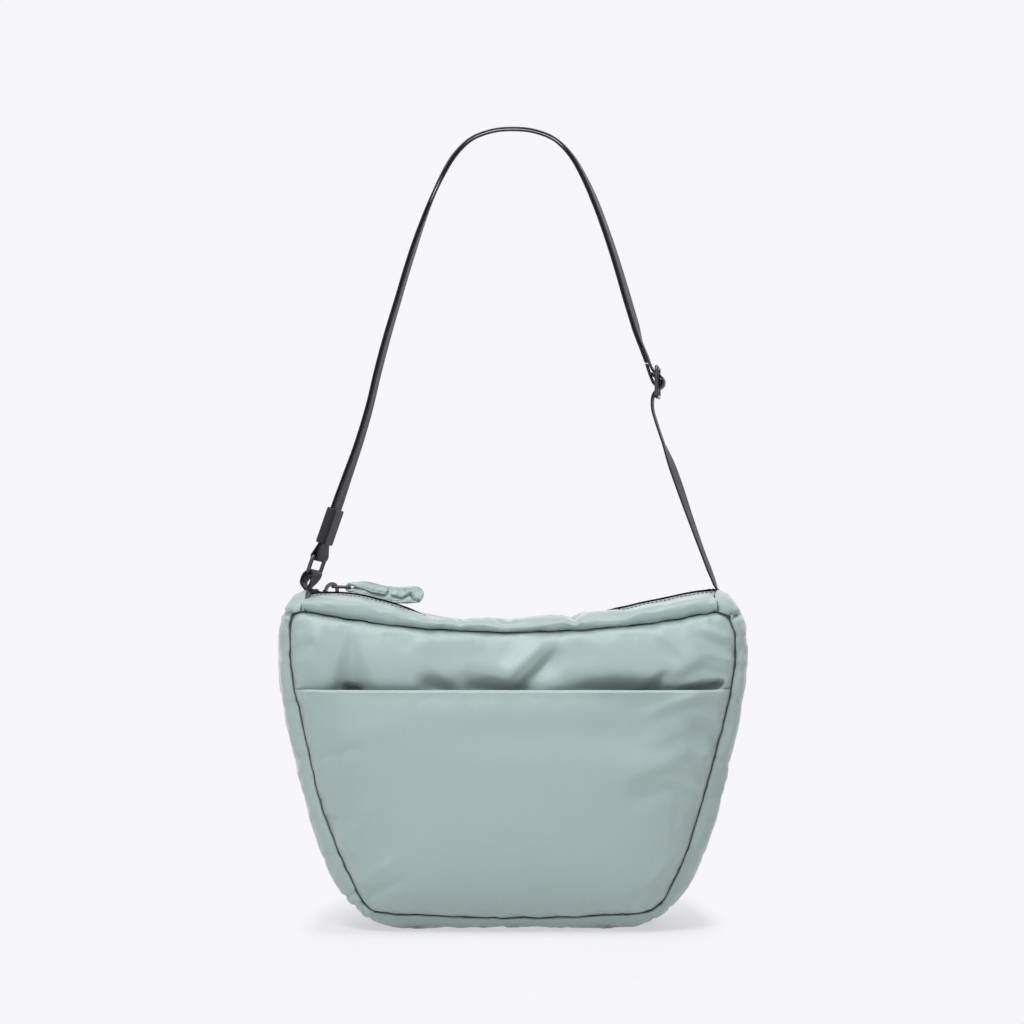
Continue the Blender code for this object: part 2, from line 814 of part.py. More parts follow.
def make_bridge(axis, foot, look):
    """The arch over the slider that the pull's link runs through."""
    stations = []
    for k in range(BRIDGE_STEPS + 1):
        turn = math.pi * k / BRIDGE_STEPS
        rows = []
        for grow in (BRIDGE_THICKNESS, 0.0):
            x = -(BRIDGE_LENGTH / 2 - BRIDGE_THICKNESS + grow) * math.cos(turn)
            up = foot + (BRIDGE_RISE - BRIDGE_THICKNESS + grow) * math.sin(turn)
            rows.append([slider_place(x, side * BRIDGE_WIDTH / 2, up) for side in (-1, 1)])
        stations.append(rows)
    strip_solid("slider_bridge", stations, look).parent = axis


def pull_axis_up():
    """Height of the link's bar over the chain's mid-plane, just under the top of the bridge."""
    foot = CHAIN_THICKNESS / 2 + GAP + SLIDER_PLATE + GAP
    return foot + BRIDGE_RISE - BRIDGE_THICKNESS - GAP - LINK_WIRE / 2


def make_pull(axis, looks):
    """The wire link and the folded fabric tab on it, hinged together at the bridge."""
    hinge = bpy.data.objects.new("pull_axis", None)
    turn = Matrix.Rotation(-slider_angle(), 3, "Y")
    hinge.location = turn @ slider_place(0.0, 0.0, pull_axis_up()) + axis.location
    bpy.context.scene.collection.objects.link(hinge)

    droop = math.radians(LINK_DROOP_DEGREES)
    along = Vector((math.cos(droop), 0.0, math.sin(droop)))
    side = Vector((0.0, 1.0, 0.0))
    bar_to_bar = LINK_LENGTH - LINK_WIRE
    half_side = (LINK_WIDTH - LINK_WIRE) / 2
    loop = planar_loop(along * (bar_to_bar / 2), along, side, bar_to_bar / 2, half_side, LINK_WIRE, 3)
    wire_loop("pull_link", loop, along.cross(side), LINK_WIRE / 2, 8, looks["metal"]).parent = hinge
    make_pull_tab(along * bar_to_bar, looks["shell"]).parent = hinge


def make_pull_tab(bar, look):
    """Folded fabric round the link's far bar: a long tail underneath and a shorter end on top of it."""
    bend = LINK_WIRE / 2 + GAP + PULL_THICKNESS / 2
    pair = (PULL_THICKNESS + GAP) / 2
    spine = []
    spreads = []
    widths = []
    for share_x, share_z in smooth_route(PULL_ROUTE_SHARES, 3):
        roll = math.radians(PULL_ROLL_DEGREES) * min(1.0, share_x / PULL_ROLLED_SHARE)
        centre = bar + Vector((share_x * PULL_TAIL_LENGTH, 0.0, share_z * PULL_TAIL_LENGTH))
        spine.append((centre, Vector((0.0, math.cos(roll), math.sin(roll)))))
        spreads.append(pair + (bend - pair) * max(0.0, 1 - share_x / PULL_SPREAD_SHARE))
        taper = min(1.0, share_x / PULL_TAPER_SHARE)
        widths.append(PULL_WIDTH_IN_LINK + (PULL_WIDTH - PULL_WIDTH_IN_LINK) * taper)
    on_top = int(len(spine) * PULL_TOP_LENGTH / PULL_TAIL_LENGTH)
    spreads = np.array(spreads)
    upper = beside(spine, -spreads)[on_top:0:-1]
    lower = beside(spine, spreads)[1:]
    back = Vector((-1.0, 0.0, 0.0))
    above = Vector((0.0, 0.0, 1.0))
    shares = [k / PULL_BEND_STEPS for k in range(PULL_BEND_STEPS + 1)]
    wrap = round_bar(bar, back, above, spine[0][1], bend, shares)
    across = [*widths[on_top:0:-1], *[PULL_WIDTH_IN_LINK] * len(wrap), *widths[1:]]
    return ribbon("pull_tab", [*upper, *wrap, *lower], across, PULL_THICKNESS, look)


def leg_direction():
    """The way up the straight lower part of the left leg."""
    run = (ARCH_SHARES[3][0] - ARCH_SHARES[0][0]) * RING_BAR_X
    climb = ARCH_SHARES[3][1] * (STRAP_TOP - RING_BAR_Z)
    return Vector((run, 0.0, climb)).normalized()


def ring_frame():
    """The way up along the leg, the ring's width direction and its face normal."""
    up = leg_direction()
    wide = square_to(yawed(RING_YAW_DEGREES), up)
    return up, wide, wide.cross(up)


def upper_bar():
    return Vector((RING_BAR_X, 0.0, RING_BAR_Z))


def make_ring(look):
    up, wide, face = ring_frame()
    centre = upper_bar() - up * (RING_HEIGHT / 2)
    loop = planar_loop(centre, wide, up, RING_WIDTH / 2, RING_HEIGHT / 2, RING_CORNER, 4)
    wire_loop("strap_ring", loop, face, WIRE / 2, 8, look)


def round_bar(bar, over, face, wide, radius, shares):
    """Stations round a bar, by shares of the half turn that starts at the face side and goes over the bar."""
    stations = []
    for share in shares:
        turn = math.pi * share
        stations.append((bar + face * (radius * math.cos(turn)) + over * (radius * math.sin(turn)), wide))
    return stations


def bend_radius():
    return WIRE / 2 + GAP + WEBBING / 2


def swing_cutter(name, radius, below):
    """A wide block bounded by an arc about the swing axis: what is below the arc, or what is above it."""
    reach = SWING_RADIUS * 2
    step = SWING_ARC_SWEEP / SWING_ARC_STEPS
    turns = [math.radians(SWING_ARC_START + step * k) for k in range(SWING_ARC_STEPS + 1)]
    arc = [(radius * math.cos(turn), SWING_HEIGHT + radius * math.sin(turn)) for turn in turns]
    level = SWING_HEIGHT + (-reach if below else reach)
    outline = [*arc, (reach, arc[-1][1]), (reach, level), (-reach, level), (-reach, arc[0][1])]
    return prism(name, outline, lambda y, z, x: Vector((x, y, z)), HALF_WIDTH * 4, bpy.data.materials[0])


def make_tab(looks):
    """The webbing loop that holds the ring: its swinging part and the end that is sewn in below the arc."""
    up, wide, face = ring_frame()
    bar = upper_bar() - up * RING_HEIGHT
    pair = (WEBBING + GAP) / 2
    low = SWING_HEIGHT - SWING_RADIUS - WEBBING
    half_yaw = RING_YAW_DEGREES * TAB_YAW_SHARE
    outer = [(bar.x + a * RING_HEIGHT, bar.z + b * RING_HEIGHT, half_yaw * c) for a, b, c in TAB_OUTER_SHARES]
    inner = [(bar.x + a * RING_HEIGHT, bar.z + b * RING_HEIGHT, half_yaw * c) for a, b, c in TAB_INNER_SHARES]
    outer_run = flat_run(smooth_route([(-SEAM_X - pair, low, 0.0), *outer], 2))
    inner_run = flat_run(smooth_route([*inner, (-SEAM_X + pair, low, 0.0)], 2))
    bend = round_bar(bar, up, -face, wide, bend_radius(), TAB_BEND_SHARES)
    make_swinging_end("ring_tab", [*outer_run, *bend, *inner_run], looks["webbing"])
    make_sewn_end("tab_seam_end", -SEAM_X, 2 * WEBBING + GAP, looks["webbing"])


def make_swinging_end(name, stations, look):
    """Webbing whose end is rounded about the swing axis."""
    moving = ribbon(name, stations, WEBBING_WIDTH, WEBBING, look)
    combine(moving, [swing_cutter("cut_below", SWING_RADIUS, True)], "DIFFERENCE")


def make_sewn_end(name, x, thickness, look):
    """The end of the webbing in the seam, hollowed above to clear the part that swings."""
    bottom = HEIGHT - ROOT_DEPTH
    levels = (bottom, (bottom + HEIGHT) / 2, HEIGHT, SWING_HEIGHT - SWING_RADIUS / 2)
    fixed = ribbon(name, flat_run([(x, level, 0.0) for level in levels]), WEBBING_WIDTH, thickness, look)
    combine(fixed, [swing_cutter("cut_above", SWING_RADIUS + GAP, False)], "DIFFERENCE")


def left_yaw(share):
    """The webbing's yaw at a share of the arch's height, on the left leg and over the top."""
    heights, parts = zip(*YAW_SHARES)
    return RING_YAW_DEGREES * np.interp(share, heights, parts)


def arch_route():
    """The middle of the strap's two layers over the arch, from the foot of the right leg to the left ring.

    Each point is x, z, yaw and its share of the arch's height."""
    both = [*ARCH_SHARES, *((-x, z) for x, z in ARCH_SHARES[-2::-1])]
    climb = STRAP_TOP - RING_BAR_Z
    route = []
    for share_x, share_z in smooth_route(both, 2):
        yaw = RIGHT_YAW_DEGREES if share_x > 0 else left_yaw(share_z)
        route.append((-RING_BAR_X * share_x, RING_BAR_Z + climb * share_z, yaw, share_z))
    return route


def split_route():
    """The arch route above the tri-glide's stretch, that stretch going down, and the point between them."""
    route = arch_route()
    middle = len(route) // 2
    leg = route[:middle]
    shares = [point[3] for point in leg]
    split = tuple(np.interp(ARCH_SPLIT_SHARE, shares, [point[k] for point in leg]) for k in range(4))
    above = [split, *(point for point in leg if point[3] > ARCH_SPLIT_SHARE), *route[middle:]]
    below = [split, *reversed([point for point in leg if point[3] < ARCH_SPLIT_SHARE])]
    return above, below


def trimmed(stations, length):
    """A run whose first station is moved this far on towards the next one."""
    first, wanted = stations[0]
    second = stations[1][0]
    return [(first + (second - first).normalized() * length, wanted), *stations[1:]]


def make_arch(look):
    """The strap from above the tri-glide over the top, round the ring and back as the under layer."""
    pair = (WEBBING + GAP) / 2
    above, below = split_route()
    middle = flat_run([point[:3] for point in above if point[0] > 0 or point[3] > LOOP_SPREAD_SHARES[0][0]])
    up, wide, face = ring_frame()
    down = []
    back = []
    for share, spread in LOOP_SPREAD_SHARES:
        foot = upper_bar() + up * (share * (STRAP_TOP - RING_BAR_Z) / up.z)
        turned = yawed(left_yaw(share))
        away = up.cross(square_to(turned, up)) * (pair + (bend_radius() - pair) * spread)
        down.append((foot + away, turned))
        back.append((foot - away, turned))
    shares = [k / LOOP_STEPS for k in range(LOOP_STEPS + 1)]
    bend = round_bar(upper_bar(), -up, -face, wide, bend_radius(), shares)
    stations = [*beside(middle, pair), *down, *bend, *reversed(back), *reversed(beside(middle, -pair))]
    return ribbon("strap_webbing", stations, WEBBING_WIDTH, WEBBING, look)


def make_keeper(look):
    """The sleeve that holds both layers of the strap together over the ring."""
    up = leg_direction()
    wide = square_to(yawed(left_yaw(KEEPER_LOW_SHARE)), up)
    thick = wide.cross(up)
    foot = upper_bar() + up * (KEEPER_LOW_SHARE * (STRAP_TOP - RING_BAR_Z) / up.z)
    hole_wide = WEBBING_WIDTH / 2 + KEEPER_EASE
    hole_thick = WEBBING + GAP / 2 + KEEPER_EASE
    stations = []
    for sign_w, sign_t in ((-1, -1), (1, -1), (1, 1), (-1, 1)):
        rows = []
        for wall in (KEEPER_WALL, 0.0):
            corner = wide * (sign_w * (hole_wide + wall)) + thick * (sign_t * (hole_thick + wall))
            rows.append([foot + corner, foot + corner + up * KEEPER_LENGTH])
        stations.append(rows)
    strip_solid("strap_keeper", stations, look, closed=True)


def glide_frame():
    """The tri-glide's centre, its width direction, its face normal and the way up."""
    up = Vector((0.0, 0.0, 1.0))
    wide = yawed(RIGHT_YAW_DEGREES)
    return Vector((GLIDE_X, 0.0, GLIDE_Z)), wide, wide.cross(up), up


def glide_run(shares, steps):
    """Stations through the tri-glide, by shares of the bar pitch out from the middle bar and up from it."""
    centre, wide, face, up = glide_frame()
    return [
        (centre + face * (a * BAR_PITCH) + up * (b * BAR_PITCH), wide) for a, b in smooth_route(shares, steps)
    ]


def make_glide(look):
    """The tri-glide: a wire frame with a middle bar."""
    centre, wide, face, up = glide_frame()
    loop = planar_loop(centre, wide, up, GLIDE_WIDTH / 2, BAR_PITCH, GLIDE_CORNER, 3)
    frame = wire_loop("triglide", loop, face, WIRE / 2, 8, look)
    bar = bmesh.new()
    bmesh.ops.create_cone(
        bar, cap_ends=True, segments=10, radius1=WIRE / 2, radius2=WIRE / 2, depth=GLIDE_WIDTH
    )
    mesh = bpy.data.meshes.new("middle_bar")
    bar.to_mesh(mesh)
    bar.free()
    middle = bpy.data.objects.new("middle_bar", mesh)
    middle.location = centre
    middle.rotation_euler = up.rotation_difference(wide).to_euler()
    bpy.context.scene.collection.objects.link(middle)
    combine(frame, [middle], "UNION")


def make_glide_webbing(look):
    """The outer layer woven through the tri-glide and the under layer's end stitched round its middle bar."""
    pair = (WEBBING + GAP) / 2
    above, below = split_route()
    first_z = GLIDE_Z + WEAVE_SHARES[0][1] * BAR_PITCH
    leg = flat_run([point[:3] for point in below if point[1] > first_z + BAR_PITCH])
    # This run goes down the leg, so its face normal points to the under layer.
    outer = trimmed(beside(leg, -pair), GAP)
    inner = trimmed(beside(leg, pair), GAP)
    weave = glide_run(WEAVE_SHARES, 3)
    ribbon("strap_adjuster_run", [*outer, *weave], WEBBING_WIDTH, WEBBING, look)
    ribbon("strap_return_run", [*inner, *glide_run(RETURN_SHARES, 2)], WEBBING_WIDTH, WEBBING, look)
    ribbon("strap_stitched_end", glide_run(STITCHED_SHARES, 3), WEBBING_WIDTH, WEBBING, look)


def make_lower_run(look):
    """The single layer from below the tri-glide down to the seam at the right end of the mouth."""
    root_z = SWING_HEIGHT - SWING_RADIUS
    (before, wide), (joint, wide) = glide_run(WEAVE_SHARES[-2:], 1)
    start = joint + (joint - before).normalized() * GAP * 2
    route = [(start.x, start.z, RIGHT_YAW_DEGREES)]
    route += [
        (GLIDE_X + a * (SEAM_X - GLIDE_X), root_z + b * (GLIDE_Z - root_z), LOWER_YAW_DEGREES * c)
        for a, b, c in LOWER_RUN_SHARES
    ]
    route.append((SEAM_X, root_z - WEBBING, 0.0))
    make_swinging_end("strap_lower_run", flat_run(smooth_route(route, 2)), look)
    make_sewn_end("strap_seam_end", SEAM_X, WEBBING, look)


def main():
    clear_scene()
    looks = {
        "shell": material("sage_nylon", SAGE, 0.55),
        "lining": material("lining", LINING_GREY, 0.8),
        "wadding": material("wadding", WADDING_WHITE, 0.95),
        "webbing": material("webbing", BLACK, 0.8),
        "zip": material("zip", BLACK, 0.6),
        "metal": material("dark_metal", DARK_METAL, 0.35, 0.9),
    }
    make_gusset(looks)
    front_outside = make_panel("front", -1, CROWN, looks)
    make_panel("rear", 1, REAR_CROWN, looks)
    make_pocket(front_outside, looks)
    for side_name, facing in (("front", -1), ("rear", 1)):
        make_band(f"{side_name}_top_band", facing, looks["shell"])
        make_tape(f"{side_name}_zip_tape", facing, looks["zip"])
        make_chain(f"{side_name}_zip_chain", facing, looks["zip"])
    make_stops(looks["metal"])
    axis = zip_frame()
    make_slider(axis, looks)
    make_pull(axis, looks)
    make_ring(looks["metal"])
    make_tab(looks)
    make_arch(looks["webbing"])
    make_keeper(looks["webbing"])
    make_glide(looks["metal"])
    make_glide_webbing(looks["webbing"])
    make_lower_run(looks["webbing"])


main()
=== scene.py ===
"""Half moon shoulder bag in padded nylon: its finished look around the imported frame.

Metres, +Z up, the front faces -Y and the origin is the middle of the base.
"""

import math

import bmesh
import bpy
import numpy as np
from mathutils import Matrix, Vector, noise


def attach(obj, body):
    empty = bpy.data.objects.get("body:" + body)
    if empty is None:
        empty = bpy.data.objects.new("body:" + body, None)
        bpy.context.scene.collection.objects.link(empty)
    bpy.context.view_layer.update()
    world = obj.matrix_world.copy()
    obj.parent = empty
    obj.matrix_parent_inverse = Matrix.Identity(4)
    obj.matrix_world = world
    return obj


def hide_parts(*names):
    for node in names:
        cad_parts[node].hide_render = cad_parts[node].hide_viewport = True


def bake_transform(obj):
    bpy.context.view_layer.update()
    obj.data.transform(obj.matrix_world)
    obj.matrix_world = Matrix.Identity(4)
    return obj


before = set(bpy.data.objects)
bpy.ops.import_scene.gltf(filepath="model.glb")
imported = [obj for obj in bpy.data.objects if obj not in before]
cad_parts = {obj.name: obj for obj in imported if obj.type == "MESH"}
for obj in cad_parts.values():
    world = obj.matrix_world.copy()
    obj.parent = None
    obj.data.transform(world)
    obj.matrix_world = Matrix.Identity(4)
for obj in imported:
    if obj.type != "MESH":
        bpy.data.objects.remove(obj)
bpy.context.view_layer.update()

MM = 0.001

# The bag's body, as in the frame's source
HALF_WIDTH = 0.150
HEIGHT = 0.214
HALF_DEPTH = 0.038
GAP = 0.0003
SEAM_X = 0.131
CROWN = 0.0075
REAR_CROWN = 0.0065
CROWN_POWER = 4.5
POCKET_SLACK = 0.0070
POCKET_MOUTH_HEIGHT = 0.152
POCKET_HEM = 0.0006
PANEL_CENTRE_HEIGHT = 0.100
TOP_SEAM_LOW = 0.1888
TOP_SEAM_RISE = 0.0133
# Half width and height of the seam, then of the gusset's outline at mid depth, as shares of the
# bag's, from the right end of the mouth down to the middle of the base
GUSSET_SHARES = (
    (0.867, 0.9435, 0.867, 1.000), (0.907, 0.932, 0.923, 0.986), (0.926, 0.915, 0.963, 0.955),
    (0.935, 0.882, 0.990, 0.907), (0.937, 0.832, 1.000, 0.846), (0.934, 0.771, 1.000, 0.771),
    (0.914, 0.695, 0.987, 0.692), (0.877, 0.585, 0.958, 0.579), (0.829, 0.460, 0.913, 0.453),
    (0.777, 0.329, 0.862, 0.332), (0.727, 0.222, 0.797, 0.215), (0.672, 0.138, 0.737, 0.126),
    (0.636, 0.092, 0.680, 0.061), (0.590, 0.062, 0.617, 0.020), (0.530, 0.051, 0.533, 0.000),
    (0.400, 0.046, 0.400, 0.000), (0.200, 0.039, 0.200, 0.000), (0.000, 0.036, 0.000, 0.000),
)
# The row of that table at which a panel's grid turns its corner
LOWER_CORNER = 12
ZIP_LOW = 0.1920
ZIP_RISE = 0.0225
ZIP_SLOT = 0.0075

# Steps of the curves laid through the side's points and along the top seam
SIDE_STEPS = 12
TOP_STEPS = 161

# How the padded panels meet: each edge turns down into the seam
SEAM_TUCK = 0.0009
SEAM_DEPTH = 0.0348
SEAM_ROLL = 0.0013
SEAM_ROLL_POWER = 1.3

# How far the padding stands out, and how far in from the seam it reaches its full height
FACE_DEPTH = HALF_DEPTH + 0.0020
PANEL_PADDING = 0.0023
PANEL_PADDING_REACH = 0.006
POCKET_PADDING = 0.0021
POCKET_PADDING_REACH = 0.005
# The share of the pocket's slack that is left at its mouth, how far below it is whole, and the
# hem's turn
MOUTH_SLACK_SHARE = 0.62
MOUTH_SLACK_REACH = 0.045
HEM_DEPTH = 0.0012
HEM_REACH = 0.0015
# Distances from a grid's edge to its first lines, which lie close together
EDGE_LINES = (0.0003, 0.0007, 0.0013, 0.0021, 0.0033, 0.0050, 0.0072, 0.0100)


def smooth_route(points, steps):
    """A smooth curve through the points, with this many pieces between each two. x and z come first."""
    knots = np.array(points, float)
    lengths = np.linalg.norm(np.diff(knots[:, :2], axis=0), axis=1)[:, None]
    slopes = np.diff(knots, axis=0) / lengths
    inner = (slopes[:-1] * lengths[1:] + slopes[1:] * lengths[:-1]) / (lengths[:-1] + lengths[1:])
    slopes = np.concatenate([slopes[:1], inner, slopes[-1:]])
    route = []
    for k in range(len(lengths)):
        for step in range(steps):
            t = step / steps
            route.append(
                (1 + 2 * t) * (1 - t)**2 * knots[k] + t**2 * (3 - 2 * t) * knots[k + 1]
                + lengths[k] * (t * (1 - t)**2 * slopes[k] - t**2 * (1 - t) * slopes[k + 1])
            )
    route.append(knots[-1])
    return np.array(route)


def arc_radius(half_chord, rise):
    return (half_chord**2 + rise**2) / (2 * rise)


def arc_height(x, low, half_chord, rise):
    """Height of an arc that is lowest at x = 0 and has risen this much at the half chord."""
    radius = arc_radius(half_chord, rise)
    return low + radius - np.sqrt(radius**2 - np.asarray(x, float)**2)


def walked(curve):
    """Length along a curve at each of its points."""
    steps = np.linalg.norm(np.diff(curve, axis=0), axis=1)
    return np.concatenate([[0.0], np.cumsum(steps)])


def read_at(table, lengths, wanted):
    """The rows of a table at the wanted lengths, between those that it has."""
    return np.stack([np.interp(wanted, lengths, column) for column in table.T], axis=-1)


def placed(curve, shares):
    """Points at these shares of a curve's length."""
    curve = np.asarray(curve, float)
    length = walked(curve)
    return read_at(curve, length, np.asarray(shares) * length[-1])


def eased(value):
    """A smooth step from 0 to 1."""
    value = np.clip(value, 0.0, 1.0)
    return value * value * (3 - 2 * value)


def risen(value, start, reach):
    """A smooth step that begins at start and is done after reach."""
    return eased((value - start) / reach)


def shares_for(length, pitch):
    """Shares of a length that start close together at both ends and then keep an even pitch."""
    middle = length - 2 * EDGE_LINES[-1]
    count = 2 * max(1, round(middle / pitch / 2))
    inner = EDGE_LINES[-1] + middle * np.arange(1, count) / count
    return np.concatenate([[0.0], EDGE_LINES, inner, length - np.array(EDGE_LINES[::-1]), [length]]) / length


# Seams
def mirrored(curve):
    """A curve that ends at x = 0, with its mirror image after it."""
    curve = np.asarray(curve)
    return np.concatenate([curve, (curve * (-1.0, 1.0))[-2::-1]])


def right_side(kind):
    """The seam or the mid-depth outline of the right side, from the mouth's end to the middle of the base."""
    first = 0 if kind == "seam" else 2
    points = [(HALF_WIDTH * row[first], HEIGHT * row[first + 1]) for row in GUSSET_SHARES]
    return smooth_route(points, SIDE_STEPS)


def top_seam():
    x = np.linspace(-1.0, 1.0, TOP_STEPS) * GUSSET_SHARES[0][0] * HALF_WIDTH
    return np.stack([x, arc_height(x, TOP_SEAM_LOW, SEAM_X, TOP_SEAM_RISE)], axis=1)


def seam_outline():
    """The whole seam round a panel, once round and closed, going right from the top left corner."""
    return np.concatenate([top_seam()[:-1], mirrored(right_side("seam"))])


OUTLINE = seam_outline()


def seam_distance(x, z):
    """Distance to the nearest point of the seam in the panel's plane."""
    starts = OUTLINE[:-1]
    runs = np.diff(OUTLINE, axis=0)
    keep = np.linalg.norm(runs, axis=1) > 1e-9
    starts, runs = starts[keep], runs[keep]
    flat = np.stack([np.ravel(x), np.ravel(z)], axis=1)
    found = np.full(len(flat), 1.0)
    for start, run in zip(starts, runs):
        share = np.clip((flat - start) @ run / (run @ run), 0.0, 1.0)
        found = np.minimum(found, np.linalg.norm(flat - start - share[:, None] * run, axis=1))
    return found.reshape(np.shape(x))


def ring_share(x, z):
    """How far out a point lies between the panel's centre, at 0, and its seam, at 1."""
    angles = np.unwrap(np.arctan2(OUTLINE[:, 1] - PANEL_CENTRE_HEIGHT, OUTLINE[:, 0]))
    radii = np.hypot(OUTLINE[:, 0], OUTLINE[:, 1] - PANEL_CENTRE_HEIGHT)
    order = np.argsort(angles)
    here = np.arctan2(z - PANEL_CENTRE_HEIGHT, x)
    reach = np.interp(here, angles[order], radii[order], period=2 * math.pi)
    return np.clip(np.hypot(x, z - PANEL_CENTRE_HEIGHT) / reach, 0.0, 1.0)


def square_off(curve):
    """Unit directions square to a flat curve, to the right of its way."""
    ahead = np.gradient(curve, axis=0)
    ahead /= np.linalg.norm(ahead, axis=1)[:, None]
    return np.stack([ahead[:, 1], -ahead[:, 0]], axis=1)


def tucked(curve):
    """A seam curve moved into the panel to where the fabric turns down."""
    curve = np.asarray(curve, float)
    return curve + square_off(curve) * SEAM_TUCK


def filled(top, right, bottom, left, across, down):
    """A grid of x and z between four sides. across and down are shares along them."""
    tops, bottoms = placed(top, across), placed(bottom, across)
    lefts, rights = placed(left, down), placed(right, down)
    u = np.asarray(across)[None, :, None]
    v = np.asarray(down)[:, None, None]
    corners = (
        (1 - u) * (1 - v) * tops[0] + u * (1 - v) * tops[-1]
        + (1 - u) * v * bottoms[0] + u * v * bottoms[-1]
    )
    return (
        (1 - v) * tops[None] + v * bottoms[None] + (1 - u) * lefts[:, None] + u * rights[:, None] - corners
    )


def panel_plan(pitch, lowest_top=None):
    """The flat grid of a panel. With lowest_top it starts at that level instead of at the top seam."""
    side = tucked(right_side("seam"))
    split = LOWER_CORNER * SIDE_STEPS
    right, floor = side[:split + 1], side[split:]
    bottom = mirrored(floor)[::-1]
    if lowest_top is None:
        start = np.array(right[0])
        top = tucked(top_seam())
        top[-1] = start
        top[0] = start * (-1.0, 1.0)
    else:
        level = np.interp(-lowest_top, -right[:, 1], np.arange(len(right)))
        first = placed_at(right, level)
        right = np.concatenate([[first], right[int(level) + 1:]])
        top = np.linspace(first * (-1.0, 1.0), first, TOP_STEPS)
    left = right * (-1.0, 1.0)
    across = shares_for(walked(top)[-1], pitch)
    down = shares_for(walked(right)[-1], pitch)
    return filled(top, right, bottom, left, across, down)


def placed_at(curve, index):
    whole = int(index)
    return curve[whole] + (curve[whole + 1] - curve[whole]) * (index - whole)


def crown(ring, rise):
    return rise * (1 - ring**CROWN_POWER)


def main_depth(x, z, rise):
    """How far a main panel's outer face stands out from the middle of the bag."""
    away = np.maximum(seam_distance(x, z) - SEAM_TUCK, 0.0)
    padding = PANEL_PADDING * eased(away / PANEL_PADDING_REACH)
    turned = (FACE_DEPTH - SEAM_DEPTH) * np.exp(-(away / SEAM_ROLL)**SEAM_ROLL_POWER)
    return FACE_DEPTH + crown(ring_share(x, z), rise) + padding - turned


def pocket_depth(x, z):
    """The pocket's outer face: it lies against the panel at the mouth, where its hem turns back."""
    below = POCKET_MOUTH_HEIGHT + POCKET_HEM - z
    share = MOUTH_SLACK_SHARE + (1 - MOUTH_SLACK_SHARE) * eased(below / MOUTH_SLACK_REACH)
    slack = crown(ring_share(x, z), POCKET_SLACK) * share
    cover = POCKET_PADDING * risen(seam_distance(x, z), SEAM_TUCK, POCKET_PADDING_REACH)
    hem = HEM_DEPTH * (1 - eased(below / HEM_REACH))
    return main_depth(x, z, CROWN) + slack + cover - hem


# Meshes from grids
def mesh_piece(name, points, faces, looks, uvs=None, face_looks=None):
    mesh = bpy.data.meshes.new(name)
    mesh.from_pydata([tuple(point) for point in points], [], [tuple(face) for face in faces])
    for look in looks:
        mesh.materials.append(look)
    if face_looks is not None:
        mesh.polygons.foreach_set("material_index", np.asarray(face_looks, np.int32))
    if uvs is not None:
        layer = mesh.uv_layers.new(name="cloth")
        corners = np.zeros(len(mesh.loops), np.int32)
        mesh.loops.foreach_get("vertex_index", corners)
        layer.data.foreach_set("uv", np.asarray(uvs, np.float32)[corners].ravel())
    mesh.shade_smooth()
    obj = bpy.data.objects.new(name, mesh)
    bpy.context.scene.collection.objects.link(obj)
    return obj


def grid_faces(rows, columns, start=0, flip=False):
    index = start + np.arange(rows * columns).reshape(rows, columns)
    quads = np.stack([index[:-1, :-1], index[1:, :-1], index[1:, 1:], index[:-1, 1:]], axis=-1)
    quads = quads.reshape(-1, 4)
    return quads[:, ::-1] if flip else quads


def rim_faces(rows, columns, inner):
    """The faces that join the borders of two like grids. inner is the second one's first index."""
    index = np.arange(rows * columns).reshape(rows, columns)
    border = np.concatenate([index[0, :-1], index[:-1, -1], index[-1, :0:-1], index[:0:-1, 0]])
    after = np.roll(border, -1)
    return np.stack([border + inner, after + inner, after, border], axis=1)


def as_units(vectors):
    return vectors / np.maximum(np.linalg.norm(vectors, axis=-1, keepdims=True), 1e-12)


def grid_normals(grid):
    """Unit normals of a grid, towards the side from which its rows run down and its columns run right."""
    return as_units(np.cross(np.gradient(grid, axis=0), np.gradient(grid, axis=1)))


def even_normals(grid, times):
    """The grid's normals, blended with their neighbours', so that a layer set off along them stays whole."""
    normals = grid_normals(grid)
    for _ in range(times):
        wide = np.pad(normals, ((1, 1), (1, 1), (0, 0)), mode="edge")
        normals = as_units(
            wide[1:-1, 1:-1] + wide[:-2, 1:-1] + wide[2:, 1:-1] + wide[1:-1, :-2] + wide[1:-1, 2:])
    return normals


def run_along(grid, axis):
    """Length along the cloth from the grid's first line across this axis."""
    run = np.cumsum(np.linalg.norm(np.diff(grid, axis=axis), axis=-1), axis=axis)
    return np.concatenate([np.zeros_like(np.take(run, [0], axis=axis)), run], axis=axis)


def flat_places(grid):
    """Where each point lies on the flat fabric, measured along the grid's rows and columns."""
    across = run_along(grid, 1)
    across -= across[:, across.shape[1] // 2][:, None]
    return np.stack([across, run_along(grid, 0)], axis=-1)


# Rows along a sewn edge that get painted seam shade, dark nylon for the cleft's shade, and the places of the
# looks
SEAM_SHADE_ROWS = 3
NYLON_LOOK, LINING_LOOK, SEAM_SHADE_LOOK = range(3)
SIDES = {
    "up": np.s_[:SEAM_SHADE_ROWS], "down": np.s_[-SEAM_SHADE_ROWS:],
    "left": np.s_[:, :SEAM_SHADE_ROWS], "right": np.s_[:, -SEAM_SHADE_ROWS:],
}


